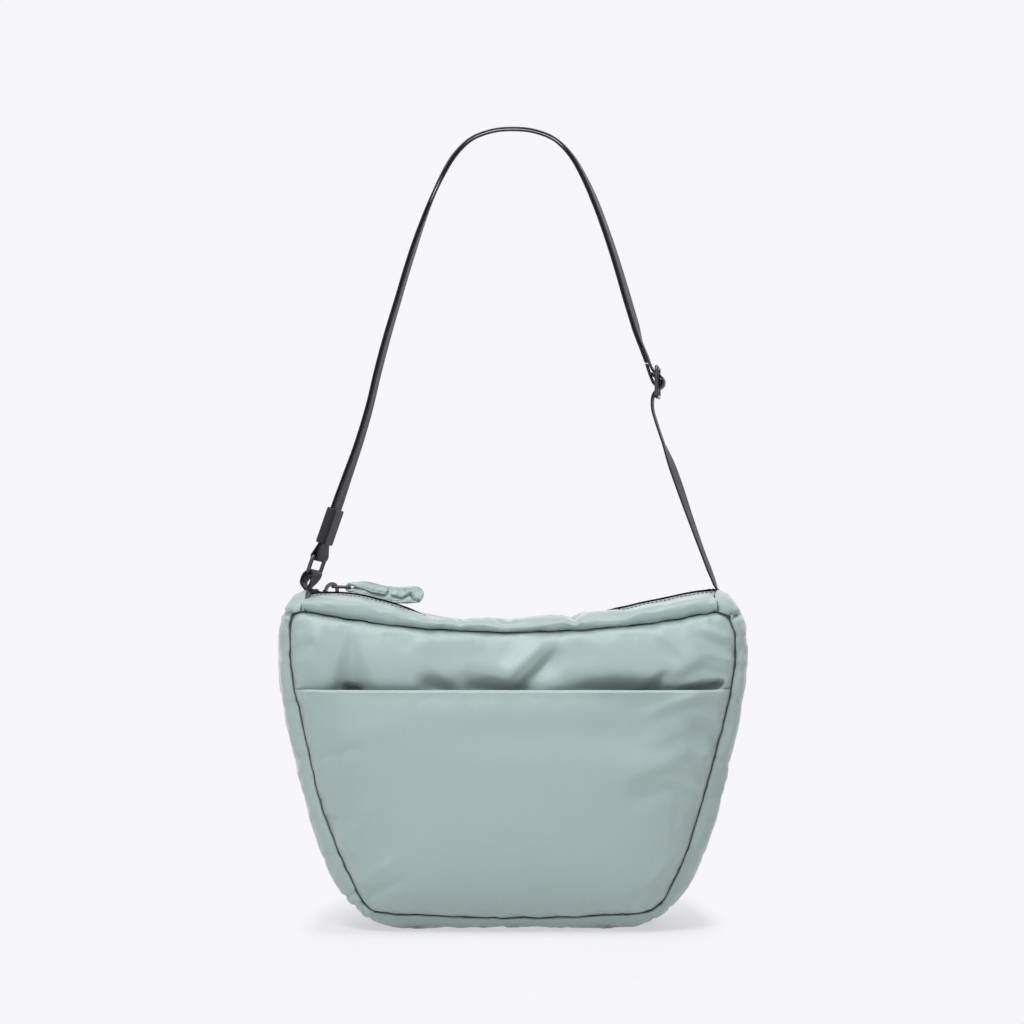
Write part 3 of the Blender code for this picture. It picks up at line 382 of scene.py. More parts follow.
def padded_mesh(name, outer, inner, looks, sewn=""):
    """A closed piece between an outer and an inner grid: nylon outside, lining inside.

    sewn names the grid's sides that are sewn in. Their edge rows and rim get painted shade for the seam's
    cleft.
    """
    rows, columns = outer.shape[:2]
    size = rows * columns
    points = np.concatenate([outer.reshape(-1, 3), inner.reshape(-1, 3)])
    faces = [grid_faces(rows, columns), grid_faces(rows, columns, size, True), rim_faces(rows, columns, size)]
    front = np.full((rows - 1, columns - 1), NYLON_LOOK)
    for side in sewn.split():
        # painted shade: the sewn sides' edge rows take the dark seam look, standing in for the cleft's shadow
        front[SIDES[side]] = SEAM_SHADE_LOOK
    rim = np.full(len(faces[2]), SEAM_SHADE_LOOK if sewn else NYLON_LOOK)
    kinds = np.concatenate([front.ravel(), np.full(len(faces[1]), LINING_LOOK), rim])
    flat = flat_places(outer).reshape(-1, 2)
    return mesh_piece(name, points, np.concatenate(faces), looks, np.concatenate([flat, flat]), kinds)


def in_halves(whole):
    """Cuts a piece in two at x = 0 and keeps the shading of the whole across the cut."""
    mesh = whole.data
    normals = np.zeros(len(mesh.vertices) * 3, np.float32)
    mesh.vertex_normals.foreach_get("vector", normals)
    normals = normals.reshape(-1, 3)
    points = np.array([vertex.co for vertex in mesh.vertices])
    places = np.zeros((len(mesh.vertices), 2), np.float32)
    if mesh.uv_layers:
        for loop, data in zip(mesh.loops, mesh.uv_layers[0].data):
            places[loop.vertex_index] = data.uv
    parts = []
    for side, word in ((-1, "left"), (1, "right")):
        chosen = [face for face in mesh.polygons if face.center.x * side > 0]
        used = sorted({index for face in chosen for index in face.vertices})
        new_index = {old: new for new, old in enumerate(used)}
        faces = [[new_index[index] for index in face.vertices] for face in chosen]
        part = mesh_piece(
            f"{whole.name}_{word}", points[used], faces, list(mesh.materials), places[used],
            [face.material_index for face in chosen],
        )
        part.data.normals_split_custom_set_from_vertices([tuple(normals[index]) for index in used])
        parts.append(part)
    bpy.data.objects.remove(whole, do_unlink=True)
    return parts


def blended_halves(whole, nodes):
    """Halves of a piece cut at x = 0, their transforms baked, and the frame's nodes that it stands for
    hidden.
    """
    for side, part in zip((-1, 1), in_halves(whole)):
        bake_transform(part)
        if nodes:
            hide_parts(*nodes)


# Fabric: inflated by simulation, then creased
PITCH = 0.0030
CLOTH = {
    "quality": 4, "mass": 0.2, "tension_stiffness": 12, "compression_stiffness": 12, "shear_stiffness": 6,
    "bending_stiffness": 0.35, "vertex_group_mass": "seam", "use_pressure": True,
    "uniform_pressure_force": 3.0,
}
CLOTH_GROWTH = 0.02
CLOTH_FRAMES = 20
# How far each piece may swell, and from where to where its edges hold that back
SWELL_LIMITS = {
    "front": 0.0012, "rear": 0.0030, "pocket": 0.0012,
    "gusset": 0.0016, "front_band": 0.0012, "rear_band": 0.0012,
}
SWELL_FREE = (0.002, 0.012)


def cloth_object(name, grid):
    """A grid as cloth that is held by its two outermost rows and columns, where the seams are."""
    rows, columns = grid.shape[:2]
    obj = mesh_piece(f"raw_{name}", grid.reshape(-1, 3), grid_faces(rows, columns), [])
    pinned = np.zeros((rows, columns))
    pinned[:2] = pinned[-2:] = 1.0
    pinned[:, :2] = pinned[:, -2:] = 1.0
    seam = obj.vertex_groups.new(name="seam")
    for index in np.nonzero(pinned.ravel())[0]:
        seam.add([int(index)], 1.0, "REPLACE")
    cloth = obj.modifiers.new("cloth", "CLOTH").settings
    for key, value in CLOTH.items():
        setattr(cloth, key, value)
    cloth.effector_weights.gravity = 0
    cloth.shrink_min = -CLOTH_GROWTH
    return obj


def simulate(grids):
    """Blows the fabric out between its pinned seams and returns how far each point moved."""
    made = {name: cloth_object(name, grid) for name, grid in grids.items()}
    scene = bpy.context.scene
    for step in range(1, CLOTH_FRAMES + 1):
        scene.frame_set(step)
    graph = bpy.context.evaluated_depsgraph_get()
    moved = {}
    for name, obj in made.items():
        mesh = obj.evaluated_get(graph).data
        points = np.zeros(len(mesh.vertices) * 3, np.float32)
        mesh.vertices.foreach_get("co", points)
        moved[name] = points.reshape(grids[name].shape) - grids[name]
    for obj in made.values():
        bpy.data.objects.remove(obj, do_unlink=True)
    scene.frame_set(1)
    return moved


def capped(moved, most):
    """Movement that eases towards a limit."""
    size = np.linalg.norm(moved, axis=-1, keepdims=True)
    return moved * (most * np.tanh(size / most) / np.maximum(size, 1e-9))


def refined(grid):
    """The same surface with twice the points each way, on smooth curves through the old ones."""
    for axis in (0, 1):
        rows = np.moveaxis(grid, axis, 0)
        before = np.concatenate([2 * rows[:1] - rows[1:2], rows[:-1]])
        after = np.concatenate([rows[1:], 2 * rows[-1:] - rows[-2:-1]])
        middles = (9 * (rows[:-1] + rows[1:]) - before[:-1] - after[1:]) / 16
        merged = np.empty((2 * len(rows) - 1, *rows.shape[1:]))
        merged[0::2] = rows
        merged[1::2] = middles
        grid = np.moveaxis(merged, 0, axis)
    return grid


def noise_field(points, size, seed):
    """Smooth noise from -1 to 1 over a grid of points, with features of this size."""
    flat = points.reshape(-1, points.shape[-1]) / size
    values = [
        noise.noise((p[0] + seed, p[1] - seed, (p[2] if len(p) > 2 else 0.0) + 0.37 * seed)) for p in flat
    ]
    return np.array(values).reshape(points.shape[:-1])


def ridge(x, z, start, end, width, height):
    """A crease along a line: its height on the line, its width to either side, fading towards its ends."""
    a, b = np.array(start), np.array(end)
    run = b - a
    length = np.linalg.norm(run)
    along = ((x - a[0]) * run[0] + (z - a[1]) * run[1]) / length**2
    off = ((x - a[0]) * run[1] - (z - a[1]) * run[0]) / length
    right, left = width if isinstance(width, tuple) else (width, width)
    fade = eased(1.5 - np.abs(along - 0.5) * 2)
    return height * np.exp(-(off / np.where(off > 0, right, left))**2) * fade


# Creases by x and z of their ends, then half width (or that to the right and to the left of the
# line) and height, all in millimetres
UPPER_CREASES = (
    ((-130, 151.0), (130, 151.0), 4.5, -1.4),
    ((-122, 192), (-124, 158), 6.0, 1.5),
    ((-85, 188), (-76, 156), 8.0, 1.2),
    ((-105, 153.6), (-95, 152.2), (2.3, 1.8), -14.0),
    ((-58, 158), (-36, 151), (5.0, 6.0), -3.8),
    ((-34, 157), (8, 150), (6.0, 6.5), -4.2),
    ((-6, 158), (20, 181), (3.0, 8.0), 2.9),
    ((0, 150), (26, 175), (9.0, 2.2), -5.2),
    ((38, 155), (98, 150.5), (7.0, 6.5), -3.8),
    ((80, 149), (95, 162), (4.5, 2.6), -3.4),
    ((100, 163), (118, 173), (4.0, 6.0), 2.2),
    ((106, 151.2), (129, 156.0), (2.8, 2.1), -14.0),
    ((92, 188), (112, 170), (4.0, 9.0), 1.2),
    ((118, 191), (139, 184), 2.6, 1.3),
    ((116, 185), (139, 178), 2.3, -1.2),
    ((120, 175), (139, 170), 2.6, 1.0),
    ((118, 166), (139, 160), 2.6, -1.0),
    ((-136, 178), (-124, 181), 2.4, -0.9),
    ((-136, 168), (-126, 172), 2.6, 0.8),
    ((30, 190), (64, 178), 8.0, 1.1),
    ((-20, 188), (-62, 180), 9.0, 0.9),
    ((46, 192), (52, 184), 2.2, -0.7),
    ((-26, 190), (-22, 182), 2.4, -0.7),
)
# Hollows over the pocket's mouth, deepest at the mouth and closing upwards: middle, half width to
# the left and to the right, top and depth, all in millimetres
UPPER_HOLLOWS = (
    (-101, 11, 12, 190, 8.2),
    (-48, 10, 9, 165, 3.6),
    (-14, 17, 17, 162, 3.6),
    (70, 28, 26, 165, 3.8),
    (88, 8, 8, 162, 2.4),
    (119, 9, 11, 160, 2.0),
)
POCKET_CREASES = (
    ((56, 148), (124, 148), 10.0, 2.6),
    ((52, 127), (118, 122), 13.0, -3.0),
    ((-20, 124), (60, 126), 13.0, -1.2),
    ((112, 140), (134, 128), 3.4, 1.7),
    ((108, 132), (132, 119), 3.0, -1.7),
    ((104, 120), (128, 106), 3.4, 1.7),
    ((104, 110), (124, 97), 3.0, -1.5),
    ((98, 96), (120, 86), 3.4, 1.4),
    ((50, 146), (112, 141), 8.0, -3.1),
    ((84, 138), (118, 150), 4.0, 2.0),
    ((84, 120), (116, 132), (5.0, 9.0), 2.0),
    ((70, 98), (108, 112), (5.0, 10.0), 1.9),
    ((72, 84), (104, 92), 5.0, -1.5),
    ((-104, 58), (-88, 82), 4.5, 1.0),
    ((-96, 30), (-76, 46), 4.0, 1.4),
    ((-92, 22), (-66, 36), 3.4, -1.2),
    ((80, 24), (100, 48), 4.0, 1.4),
    ((72, 18), (92, 34), 3.4, -1.2),
    ((-60, 138), (50, 142), 9.0, 0.8),
    ((-114, 122), (-70, 130), 9.0, 1.0),
    ((-120, 110), (-96, 116), 3.2, -1.0),
    ((-30, 14), (40, 16), 5.0, -0.8),
)


# A hollow's width at its top as a share, how it deepens downwards and how flat its bottom is, and
# how far in from the seam creases fade
HOLLOW_TIP = 0.12
HOLLOW_DEEPENING = 1.3
HOLLOW_FLATNESS = 2.4
CREASE_FADE = 0.0035


def hollow(x, z, middle, left, right, top, depth):
    """A hollow that opens from its top down to the pocket's mouth, where it is deepest."""
    share = np.clip((top - z) / (top - POCKET_MOUTH_HEIGHT / MM), 0, 1)
    half = np.where(x < middle, left, right) * (HOLLOW_TIP + (1 - HOLLOW_TIP) * share)
    return -depth * share**HOLLOW_DEEPENING * np.exp(-(np.abs(x - middle) / half)**HOLLOW_FLATNESS)


def closer_rows(grid, low, high):
    """The same grid with another row between each two that cross this band of heights."""
    z = grid[..., 2]
    rows = [grid[0]]
    for k in range(len(grid) - 1):
        if z[k].max() > low and z[k + 1].min() < high:
            rows.append((grid[k] + grid[k + 1]) / 2)
        rows.append(grid[k + 1])
    return np.array(rows)


def creased(grid, creases, facing, hollows=()):
    """A grid with its creases pressed in or out along Y."""
    x, z = grid[..., 0] / MM, grid[..., 2] / MM
    lift = sum(ridge(x, z, *crease) for crease in creases) + sum(hollow(x, z, *dent) for dent in hollows)
    fade = risen(seam_distance(grid[..., 0], grid[..., 2]), SEAM_TUCK, CREASE_FADE)
    changed = grid.copy()
    changed[..., 1] += facing * (lift * MM) * fade
    return changed


# Pulls across the gusset, at its corners and down its sides
GUSSET_CREASES = (
    ((-136, 196.5), (-150, 201.5), 1.5, -3.4),
    ((-134, 190), (-152, 194), 2.2, -0.9),
    ((136, 197.0), (150, 201.5), 1.6, -3.8),
    ((140, 172), (152, 192), 2.2, -1.6),
    ((136, 188), (156, 180), 2.0, -1.0),
    ((137, 168), (156, 158), 2.2, -1.0),
    ((134, 150), (152, 138), 2.0, -1.0),
    ((-136, 176), (-156, 168), 2.2, -0.9),
    ((-134, 146), (-152, 134), 2.2, -0.9),
    ((-124, 112), (-144, 104), 2.4, -0.8),
    ((122, 112), (142, 102), 2.2, -0.9),
    ((-104, 52), (-124, 42), 2.2, -0.9),
    ((104, 56), (124, 44), 2.2, -0.9),
    ((-92, 20), (-108, 8), 1.6, -1.6),
    ((-96, 27), (-110, 18), 1.4, -1.4),
    ((-86, 12), (-98, -2), 1.4, -1.4),
    ((90, 20), (106, 8), 1.6, -1.4),
    ((84, 12), (96, -2), 1.4, -1.2),
)


# Where the gusset's creases begin and how far they take to reach their height, from its edge and
# from the middle of its width
PRESSED_FROM_EDGE = (0.001, 0.004)
PRESSED_FROM_MIDDLE = (0.010, 0.020)


def edge_distance(grid):
    """How far each point is from the nearest edge of its grid, along the cloth."""
    away = []
    for axis in (0, 1):
        run = run_along(grid, axis)
        away += [run, np.take(run, [-1], axis=axis) - run]
    return np.minimum.reduce(away)


def pressed(grid, creases):
    """A grid with creases pressed along its normals."""
    x, z = grid[..., 0] / MM, grid[..., 2] / MM
    lift = sum(ridge(x, z, *crease) for crease in creases) * MM
    lift = lift * risen(edge_distance(grid), *PRESSED_FROM_EDGE)
    lift = lift * risen(np.abs(grid[..., 1]), *PRESSED_FROM_MIDDLE)
    outwards = grid_normals(grid)
    if (outwards * (grid - grid.mean((0, 1)))).sum() < 0:
        outwards = -outwards
    return grid + outwards * lift[..., None]


# The right end of the mouth, pulled in: how far, its half width, and where it starts by height and
# by depth
END_SHIFT = 0.0032
END_HALF_WIDTH = 0.009
END_HEIGHT = (0.184, 0.012)
END_DEPTH = (0.012, 0.020)
# Where the real seam strays from its pattern: place, radius and movement by x and z, in millimetres
SEAM_SHIFTS = (
    ((-122, 86), 24, (-1.9, -0.2)),
    ((-140, 196), 9, (-0.6, 1.6)),
)
# Where the gusset's bulge is flatter than its pattern: place, radius and movement, in millimetres,
# and the half depth within which it is
OUTLINE_SHIFTS = (
    ((-86, 0), 17, (0.6, 3.0)),
    ((82, 0), 18, (-0.4, 3.2)),
)
OUTLINE_DEPTH = (0.0365, 0.010)
# The waver of a sewn edge: its height, its reach from the seam, where it starts by depth, its
# coarse and its fine part by share, size and seed, and a seed for each of x and z
WAVER = 0.0009
WAVER_REACH = 0.012
WAVER_DEPTH = (0.012, 0.015)
WAVES = ((0.65, 0.011, 0.0), (0.35, 0.005, 1.1))
WAVER_SEEDS = ((0, 2.3), (2, 7.9))


def shifted(grid, shifts, share):
    """A grid with its points moved round each place of a table, by this share of the movement."""
    x, z = grid[..., 0] / MM, grid[..., 2] / MM
    changed = grid.copy()
    for (middle, height), radius, (across, up) in shifts:
        part = np.exp(-((x - middle)**2 + (z - height)**2) / radius**2) * share
        changed[..., 0] += across * MM * part
        changed[..., 2] += up * MM * part
    return changed


def wobbled(grid):
    """The same surface with the small waver of a sewn edge, alike on every piece that meets there."""
    x, z, depth = grid[..., 0], grid[..., 2], np.abs(grid[..., 1])
    near = np.exp(-(seam_distance(x, z) / WAVER_REACH)**2) * risen(depth, *WAVER_DEPTH)
    at_end = np.exp(-((x - SEAM_X) / END_HALF_WIDTH)**2) * risen(z, *END_HEIGHT)
    changed = shifted(grid, SEAM_SHIFTS, near)
    changed[..., 0] -= END_SHIFT * at_end * risen(depth, *END_DEPTH)
    flat = grid[..., [0, 2]]
    for axis, seed in WAVER_SEEDS:
        waver = sum(share * noise_field(flat, size, seed + other) for share, size, other in WAVES)
        changed[..., axis] += WAVER * waver * near
    return changed


def puckered(grid, amount, size, reach, seed, away):
    """Small pulls in the fabric, strongest beside the seams. away is each point's distance from a seam."""
    near = np.exp(-(away / reach)**1.5) * eased(away / CREASE_FADE)
    pulls = noise_field(grid, size, seed) + 0.5 * noise_field(grid, size * 0.45, seed + 5.3)
    return grid + grid_normals(grid) * (pulls * near * amount)[..., None]


def main_panel_grid(facing, rise, plan):
    x, z = plan[..., 0], plan[..., 1]
    grid = np.stack([x, facing * main_depth(x, z, rise), z], axis=-1)
    return grid if facing < 0 else grid[:, ::-1]


def pocket_grid(plan):
    x, z = plan[..., 0], plan[..., 1]
    return np.stack([x, -pocket_depth(x, z), z], axis=-1)


# The gusset's section: steps of its rounded edge, the share of its half depth that is flat, its
# rounding, and how the edge rolls into the seam by depth beyond the half depth and by movement
# outwards
GUSSET_STEPS = 7
GUSSET_FLAT_SHARE = 0.40
GUSSET_DEPTH = HALF_DEPTH + 0.0010
GUSSET_ROUNDING = 0.85
GUSSET_EDGE = ((0.0009, -0.0003), (0.0002, -0.0006), (-0.0007, -0.0008))
# How much narrower the lining is, for each metre that it lies inside
LINING_NARROWING = 12


def gusset_profile():
    """Depth, share of the bulge and movement outwards, from the front seam to the rear one."""
    flat = GUSSET_FLAT_SHARE * HALF_DEPTH
    half = []
    for turn in np.linspace(0.0, 1.0, GUSSET_STEPS):
        angle = turn * math.pi / 2
        bulge = math.cos(angle)**GUSSET_ROUNDING
        half.append((flat + (GUSSET_DEPTH - flat) * math.sin(angle), bulge, 0.0))
    half += [(HALF_DEPTH + beyond, 0.0, out) for beyond, out in GUSSET_EDGE]
    half.append((SEAM_DEPTH, 0.0, -SEAM_TUCK))
    half = np.array(half)
    flats = [(share * GUSSET_FLAT_SHARE * HALF_DEPTH, 1.0, 0.0) for share in (-0.66, -0.33, 0.0, 0.33, 0.66)]
    return np.concatenate([half[::-1] * (-1.0, 1.0, 1.0), flats, half])


def gusset_grid(pitch, inset=0.0):
    """Rows run from the mouth's left end round to its right one, columns from front to rear."""
    seam = mirrored(right_side("seam") * (-1.0, 1.0))
    middle = mirrored(right_side("middle") * (-1.0, 1.0))
    length = walked(middle)
    spots = shares_for(length[-1], pitch) * length[-1]
    seam, middle = read_at(seam, length, spots), read_at(middle, length, spots)
    outside = square_off(seam)
    profile = gusset_profile()
    grid = np.zeros((len(spots), len(profile), 3))
    for k, (depth, bulge, extra) in enumerate(profile):
        flat = seam + (middle - seam) * bulge + outside * (extra - inset)
        grid[:, k, 0] = flat[:, 0]
        grid[:, k, 1] = depth * (1 - inset * LINING_NARROWING)
        grid[:, k, 2] = flat[:, 1]
    return grid


# The mouth's skyline by x and height, in millimetres
CREST = (
    (-133, 210.6), (-120, 211.3), (-108, 211.3), (-97, 210.0), (-85, 207.1), (-72, 203.7), (-67, 202.2),
    (-56, 198.9), (-43, 196.3), (-34, 194.8), (-30, 194.8), (-18, 195.7), (0, 194.3), (20, 196.9),
    (33, 197.4), (38, 196.4), (46, 199.2), (59, 201.1), (72, 202.9), (84, 205.4), (97, 208.0),
    (110, 210.8), (117, 212.0), (125, 212.8), (131, 213.0),
)
# How far the front band's edge beside the zip lies below it, by x, and how much lower the rear band
# is
LIP_DROP_X = (-80, -62, -40, 40, 62, 80)
LIP_DROP = (0.0, 0.8, 2.0, 2.0, 0.8, 0.0)
REAR_DROP = 0.0014


def crest_height(x):
    knots = smooth_route(CREST, 8) * MM
    return np.interp(x, knots[:, 0], knots[:, 1])


def lip_height(x):
    return crest_height(x) - np.interp(x, np.array(LIP_DROP_X) * MM, LIP_DROP) * MM


# The band's section from the seam to the zip: how far it stands forward of the seam, and its share
# of the crest's height where it lies rolled over and where it climbs to the zip
BAND_FORWARD = (0.0, 2.6, 4.8, 6.2, 6.6, 5.8, 3.8, 0.6, -4.0, -9.0, -15.0, -21.0, -28.7)
BAND_ROLLED = (0.0, 0.02, 0.10, 0.24, 0.42, 0.60, 0.78, 0.90, 1.0, 0.98, 0.88, 0.66, 0.0)
BAND_CLIMBING = (0.0, 0.02, 0.10, 0.23, 0.38, 0.52, 0.64, 0.72, 0.77, 0.80, 0.83, 0.87, 1.0)
# Where that section is at the crest, and where it begins to climb to the zip by x
BAND_CREST = -4.0
CLIMB_X = (0.045, 0.030)
# The band's ends, left and right: how far short of the mouth's end they stop near the zip, how much
# further they reach beyond it, and the depths between which they change
BAND_SHORT = (0.0013, 0.0009)
BAND_FURTHER = (0.0026, 0.0014)
BAND_END_NEAR = 0.0125
BAND_END_FAR = 0.0155
# The front band's pinches by x, half width and depth, in millimetres
BAND_PINCHES = ((38.5, 1.7, 1.9), (-33, 3.0, 0.7))
# How deep into the band, from the seam, the pinches reach
PINCH_START = SEAM_DEPTH + 0.006
PINCH_REACH = 0.030
# How far the band's edges turn down, at the seam by share of the height and at its ends by length
SEAM_TURN = 0.0008
SEAM_TURN_SHARE = 0.03
END_TURN = 0.0022
END_TURN_REACH = 0.0009


def band_grid(facing, pitch):
    """The top band: rows run from the seam with the panel up to the zip, columns run to the right."""
    section = smooth_route(list(zip(BAND_FORWARD, BAND_ROLLED, BAND_CLIMBING)), 2)
    forward, rolled, climbing = (column[:, None] for column in section.T)
    spread = shares_for(2 * SEAM_X, pitch) * 2 - 1
    y = SEAM_DEPTH + forward * (SEAM_DEPTH - ZIP_SLOT) / -BAND_FORWARD[-1]
    free = eased((y - BAND_END_NEAR) / (BAND_END_FAR - BAND_END_NEAR))
    left, right = (SEAM_X - short + further * free for short, further in zip(BAND_SHORT, BAND_FURTHER))
    side = np.where(spread < 0, left, right)
    x = spread * side
    seam = arc_height(np.clip(x, -SEAM_X, SEAM_X), TOP_SEAM_LOW, SEAM_X, TOP_SEAM_RISE)
    drop = REAR_DROP if facing > 0 else 0.0
    crest, lip = crest_height(x) - drop, lip_height(x) - drop
    z_rolled = np.where(forward < BAND_CREST, lip + (crest - lip) * rolled, seam + (crest - seam) * rolled)
    z_climbing = seam + (lip - seam) * climbing
    z = z_rolled + (z_climbing - z_rolled) * risen(np.abs(x), *CLIMB_X)
    z = z - SEAM_TURN * np.exp(-(rolled / SEAM_TURN_SHARE)**1.2) * (forward > 0)
    if facing < 0:
        pinch = sum(deep * np.exp(-((x / MM - middle) / half)**2) for middle, half, deep in BAND_PINCHES)
        from_seam = np.clip((PINCH_START - y) / PINCH_REACH, 0, 1)
        z = z - pinch * MM * eased(np.maximum(rolled, from_seam) / 0.5)
    z = z - END_TURN * np.exp(-((side - np.abs(x)) / END_TURN_REACH)**1.2)
    grid = np.stack([x, facing * y + 0 * x, z], axis=-1)
    return grid[::-1] if facing < 0 else grid


# Materials
def wired(tree, made, links):
    """Sets a node's inputs: a socket becomes a link, anything else a value."""
    for key, value in links.items():
        if isinstance(value, bpy.types.NodeSocket):
            tree.links.new(value, made.inputs[key])
        else:
            made.inputs[key].default_value = value
    return made


def node(tree, kind, links=None, **values):
    """A shader node with its properties and inputs set."""
    made = tree.nodes.new(kind)
    for key, value in values.items():
        setattr(made, key, value)
    return wired(tree, made, links or {})


def maths(tree, operation, *values, **more):
    """The result of an operation on sockets and numbers."""
    return node(tree, "ShaderNodeMath", dict(enumerate(values)), operation=operation, **more).outputs[0]


def mottle(tree, place, scale, detail, **more):
    """Noise over a place."""
    links = {"Vector": place, "Scale": scale, "Detail": detail, **more}
    return node(tree, "ShaderNodeTexNoise", links).outputs["Fac"]


def remapped(tree, value, old, new, **more):
    """A value brought from one range to another."""
    links = {"Value": value, "From Min": old[0], "From Max": old[1], "To Min": new[0], "To Max": new[1]}
    return node(tree, "ShaderNodeMapRange", links, **more).outputs[0]


def mixed_colour(tree, factor, first, second):
    return node(tree, "ShaderNodeMix", {"Factor": factor, 6: first, 7: second}, data_type="RGBA").outputs[2]


def group(name, inputs, outputs):
    """An empty shader group with its sockets. inputs and outputs are (name, kind) pairs."""
    tree = bpy.data.node_groups.new(name, "ShaderNodeTree")
    for label, kind in inputs:
        tree.interface.new_socket(label, in_out="INPUT", socket_type=f"NodeSocket{kind}")
    for label, kind in outputs:
        tree.interface.new_socket(label, in_out="OUTPUT", socket_type=f"NodeSocket{kind}")
    return tree, tree.nodes.new("NodeGroupInput"), tree.nodes.new("NodeGroupOutput")


def use(tree, shared, links):
    return node(tree, "ShaderNodeGroup", links, node_tree=shared)


def plain_weave():
    """Threads going over and under each other. Place is in metres on the flat cloth."""
    tree, start, end = group(
        "plain_weave",
        [("Place", "Vector"), ("Thread", "Float"), ("Unevenness", "Float")],
        [("Height", "Float"), ("Thread Shade", "Float")],
    )
    place, thread, unevenness = (start.outputs[key] for key in ("Place", "Thread", "Unevenness"))
    parts = node(tree, "ShaderNodeSeparateXYZ", {0: place})
    turns = maths(tree, "DIVIDE", math.pi, thread)
    waves = [maths(tree, "SINE", maths(tree, "MULTIPLY", parts.outputs[axis], turns)) for axis in ("X", "Y")]
    over = maths(tree, "MULTIPLY", *waves)
    uneven = maths(tree, "MULTIPLY_ADD", mottle(tree, place, 900.0, 2.0), unevenness, over)
    wired(tree, end, {"Height": uneven, "Thread Shade": maths(tree, "MULTIPLY_ADD", over, 0.5, 0.5)})
    return tree


def faded_dye():
    """Slow drifts of a dye's depth over a piece of cloth."""
    tree, start, end = group(
        "faded_dye",
        [("Place", "Vector"), ("Colour", "Color"), ("Deep Colour", "Color"), ("Amount", "Float"),
         ("Shade", "Float")],
        [("Colour", "Color"), ("Mask", "Float")],
    )
    given = start.outputs
    drift = mottle(tree, given["Place"], 14.0, 3.0, Roughness=0.6)
    both = maths(tree, "ADD", drift, mottle(tree, given["Place"], 420.0, 2.0))
    with_threads = maths(tree, "MULTIPLY_ADD", given["Shade"], -0.35, both)
    mask = remapped(tree, with_threads, (0.45, 1.35), (0.0, given["Amount"]))
    mixed = mixed_colour(tree, mask, given["Colour"], given["Deep Colour"])
    wired(tree, end, {"Colour": mixed, "Mask": mask})
    return tree


def rubbed_edges():
    """Where a coating is rubbed: on convex edges, broken up by scuffs."""
    tree, start, end = group(
        "rubbed_edges",
        [("Place", "Vector"), ("Pointiness", "Float"), ("Colour", "Color"), ("Bare Colour", "Color"),
         ("Amount", "Float"), ("Smooth", "Float"), ("Worn", "Float")],
        [("Colour", "Color"), ("Roughness", "Float")],
    )
    given = start.outputs
    scuffs = mottle(tree, given["Place"], 900.0, 4.0)
    broken = maths(tree, "MULTIPLY", remapped(tree, given["Pointiness"], (0.50, 0.58), (0.0, 1.0)), scuffs)
    spread = maths(tree, "MULTIPLY_ADD", scuffs, 0.35, broken)
    mask = maths(tree, "MULTIPLY", spread, given["Amount"], use_clamp=True)
    wired(tree, end, {
        "Colour": mixed_colour(tree, mask, given["Colour"], given["Bare Colour"]),
        "Roughness": remapped(tree, scuffs, (0.3, 0.7), (given["Smooth"], given["Worn"])),
    })
    return tree


def new_material(name):
    made = bpy.data.materials.new(name)
    made.use_nodes = True
    return made, made.node_tree, made.node_tree.nodes["Principled BSDF"]


def linear(red, green, blue):
    """A colour given as it looks on screen, from 0 to 255."""
    shares = [value / 255 for value in (red, green, blue)]
    return (*(v / 12.92 if v <= 0.04045 else ((v + 0.055) / 1.055)**2.4 for v in shares), 1.0)


def cloth_material(
        groups, name, colour, deep, drift, thread, relief, roughness, sheen, sheen_roughness=0.4, gloss=0.35):
    """Woven cloth of this thread and relief. Its dye drifts towards a deeper colour."""
    made, tree, shader = new_material(name)
    place = node(tree, "ShaderNodeUVMap", uv_map="cloth").outputs["UV"]
    weave = use(tree, groups["weave"], {"Place": place, "Thread": thread, "Unevenness": 0.8})
    dye = use(tree, groups["dye"], {
        "Place": place, "Colour": linear(*colour), "Deep Colour": linear(*deep), "Amount": drift,
        "Shade": weave.outputs["Thread Shade"],
    })
    rough = remapped(tree, dye.outputs["Mask"], (0.0, 1.0), (roughness - 0.05, roughness + 0.07))
    bump = node(tree, "ShaderNodeBump", {
        "Height": weave.outputs["Height"], "Distance": relief, "Strength": 1.0,
    })
    wired(tree, shader, {
        "Base Color": dye.outputs["Colour"], "Roughness": rough, "Normal": bump.outputs[0],
        "Sheen Weight": sheen, "Sheen Roughness": sheen_roughness, "Specular IOR Level": gloss,
    })
    return made


def metal_material(groups, name, colour, bare, amount, smooth, worn, metallic):
    """A hard surface with rubbed edges and a finish that goes from smooth to worn."""
    made, tree, shader = new_material(name)
    rub = use(tree, groups["rub"], {
        "Place": node(tree, "ShaderNodeTexCoord").outputs["Object"],
        "Pointiness": node(tree, "ShaderNodeNewGeometry").outputs["Pointiness"],
        "Colour": linear(*colour), "Bare Colour": linear(*bare),
        "Amount": amount, "Smooth": smooth, "Worn": worn,
    })
    wired(tree, shader, {
        "Base Color": rub.outputs["Colour"], "Roughness": rub.outputs["Roughness"], "Metallic": metallic,
    })
    return made


# Name, colour and deeper colour as seen on screen, drift of the dye, thread and relief in metres,
# roughness and sheen, then the sheen's roughness and the gloss
CLOTHS = {
    "nylon": ("sage_nylon", (154, 174, 171), (142, 163, 160), 0.5, 0.00042, 0.00002, 0.46, 0.5, 0.5, 0.7),
    # The seam row is painted shade: nylon darkened to its colour in the shadow of a seam's cleft
    "seam": ("painted_seam_shade", (74, 96, 92), (60, 80, 78), 0.5, 0.00042, 0.00002, 0.7, 0.0),
    "lining": ("lining_cloth", (96, 106, 106), (78, 88, 88), 0.6, 0.00035, 0.00002, 0.6, 0.2),
    "webbing": ("black_webbing", (32, 31, 36), (22, 22, 26), 0.8, 0.0010, 0.00004, 0.62, 0.02),
    "tape": ("zip_tape_cloth", (36, 37, 40), (26, 27, 30), 0.7, 0.0005, 0.00004, 0.7, 0.04),
    "thread": ("sewing_thread", (84, 104, 102), (68, 88, 86), 0.5, 0.0002, 0.00002, 0.6, 0.3),
}
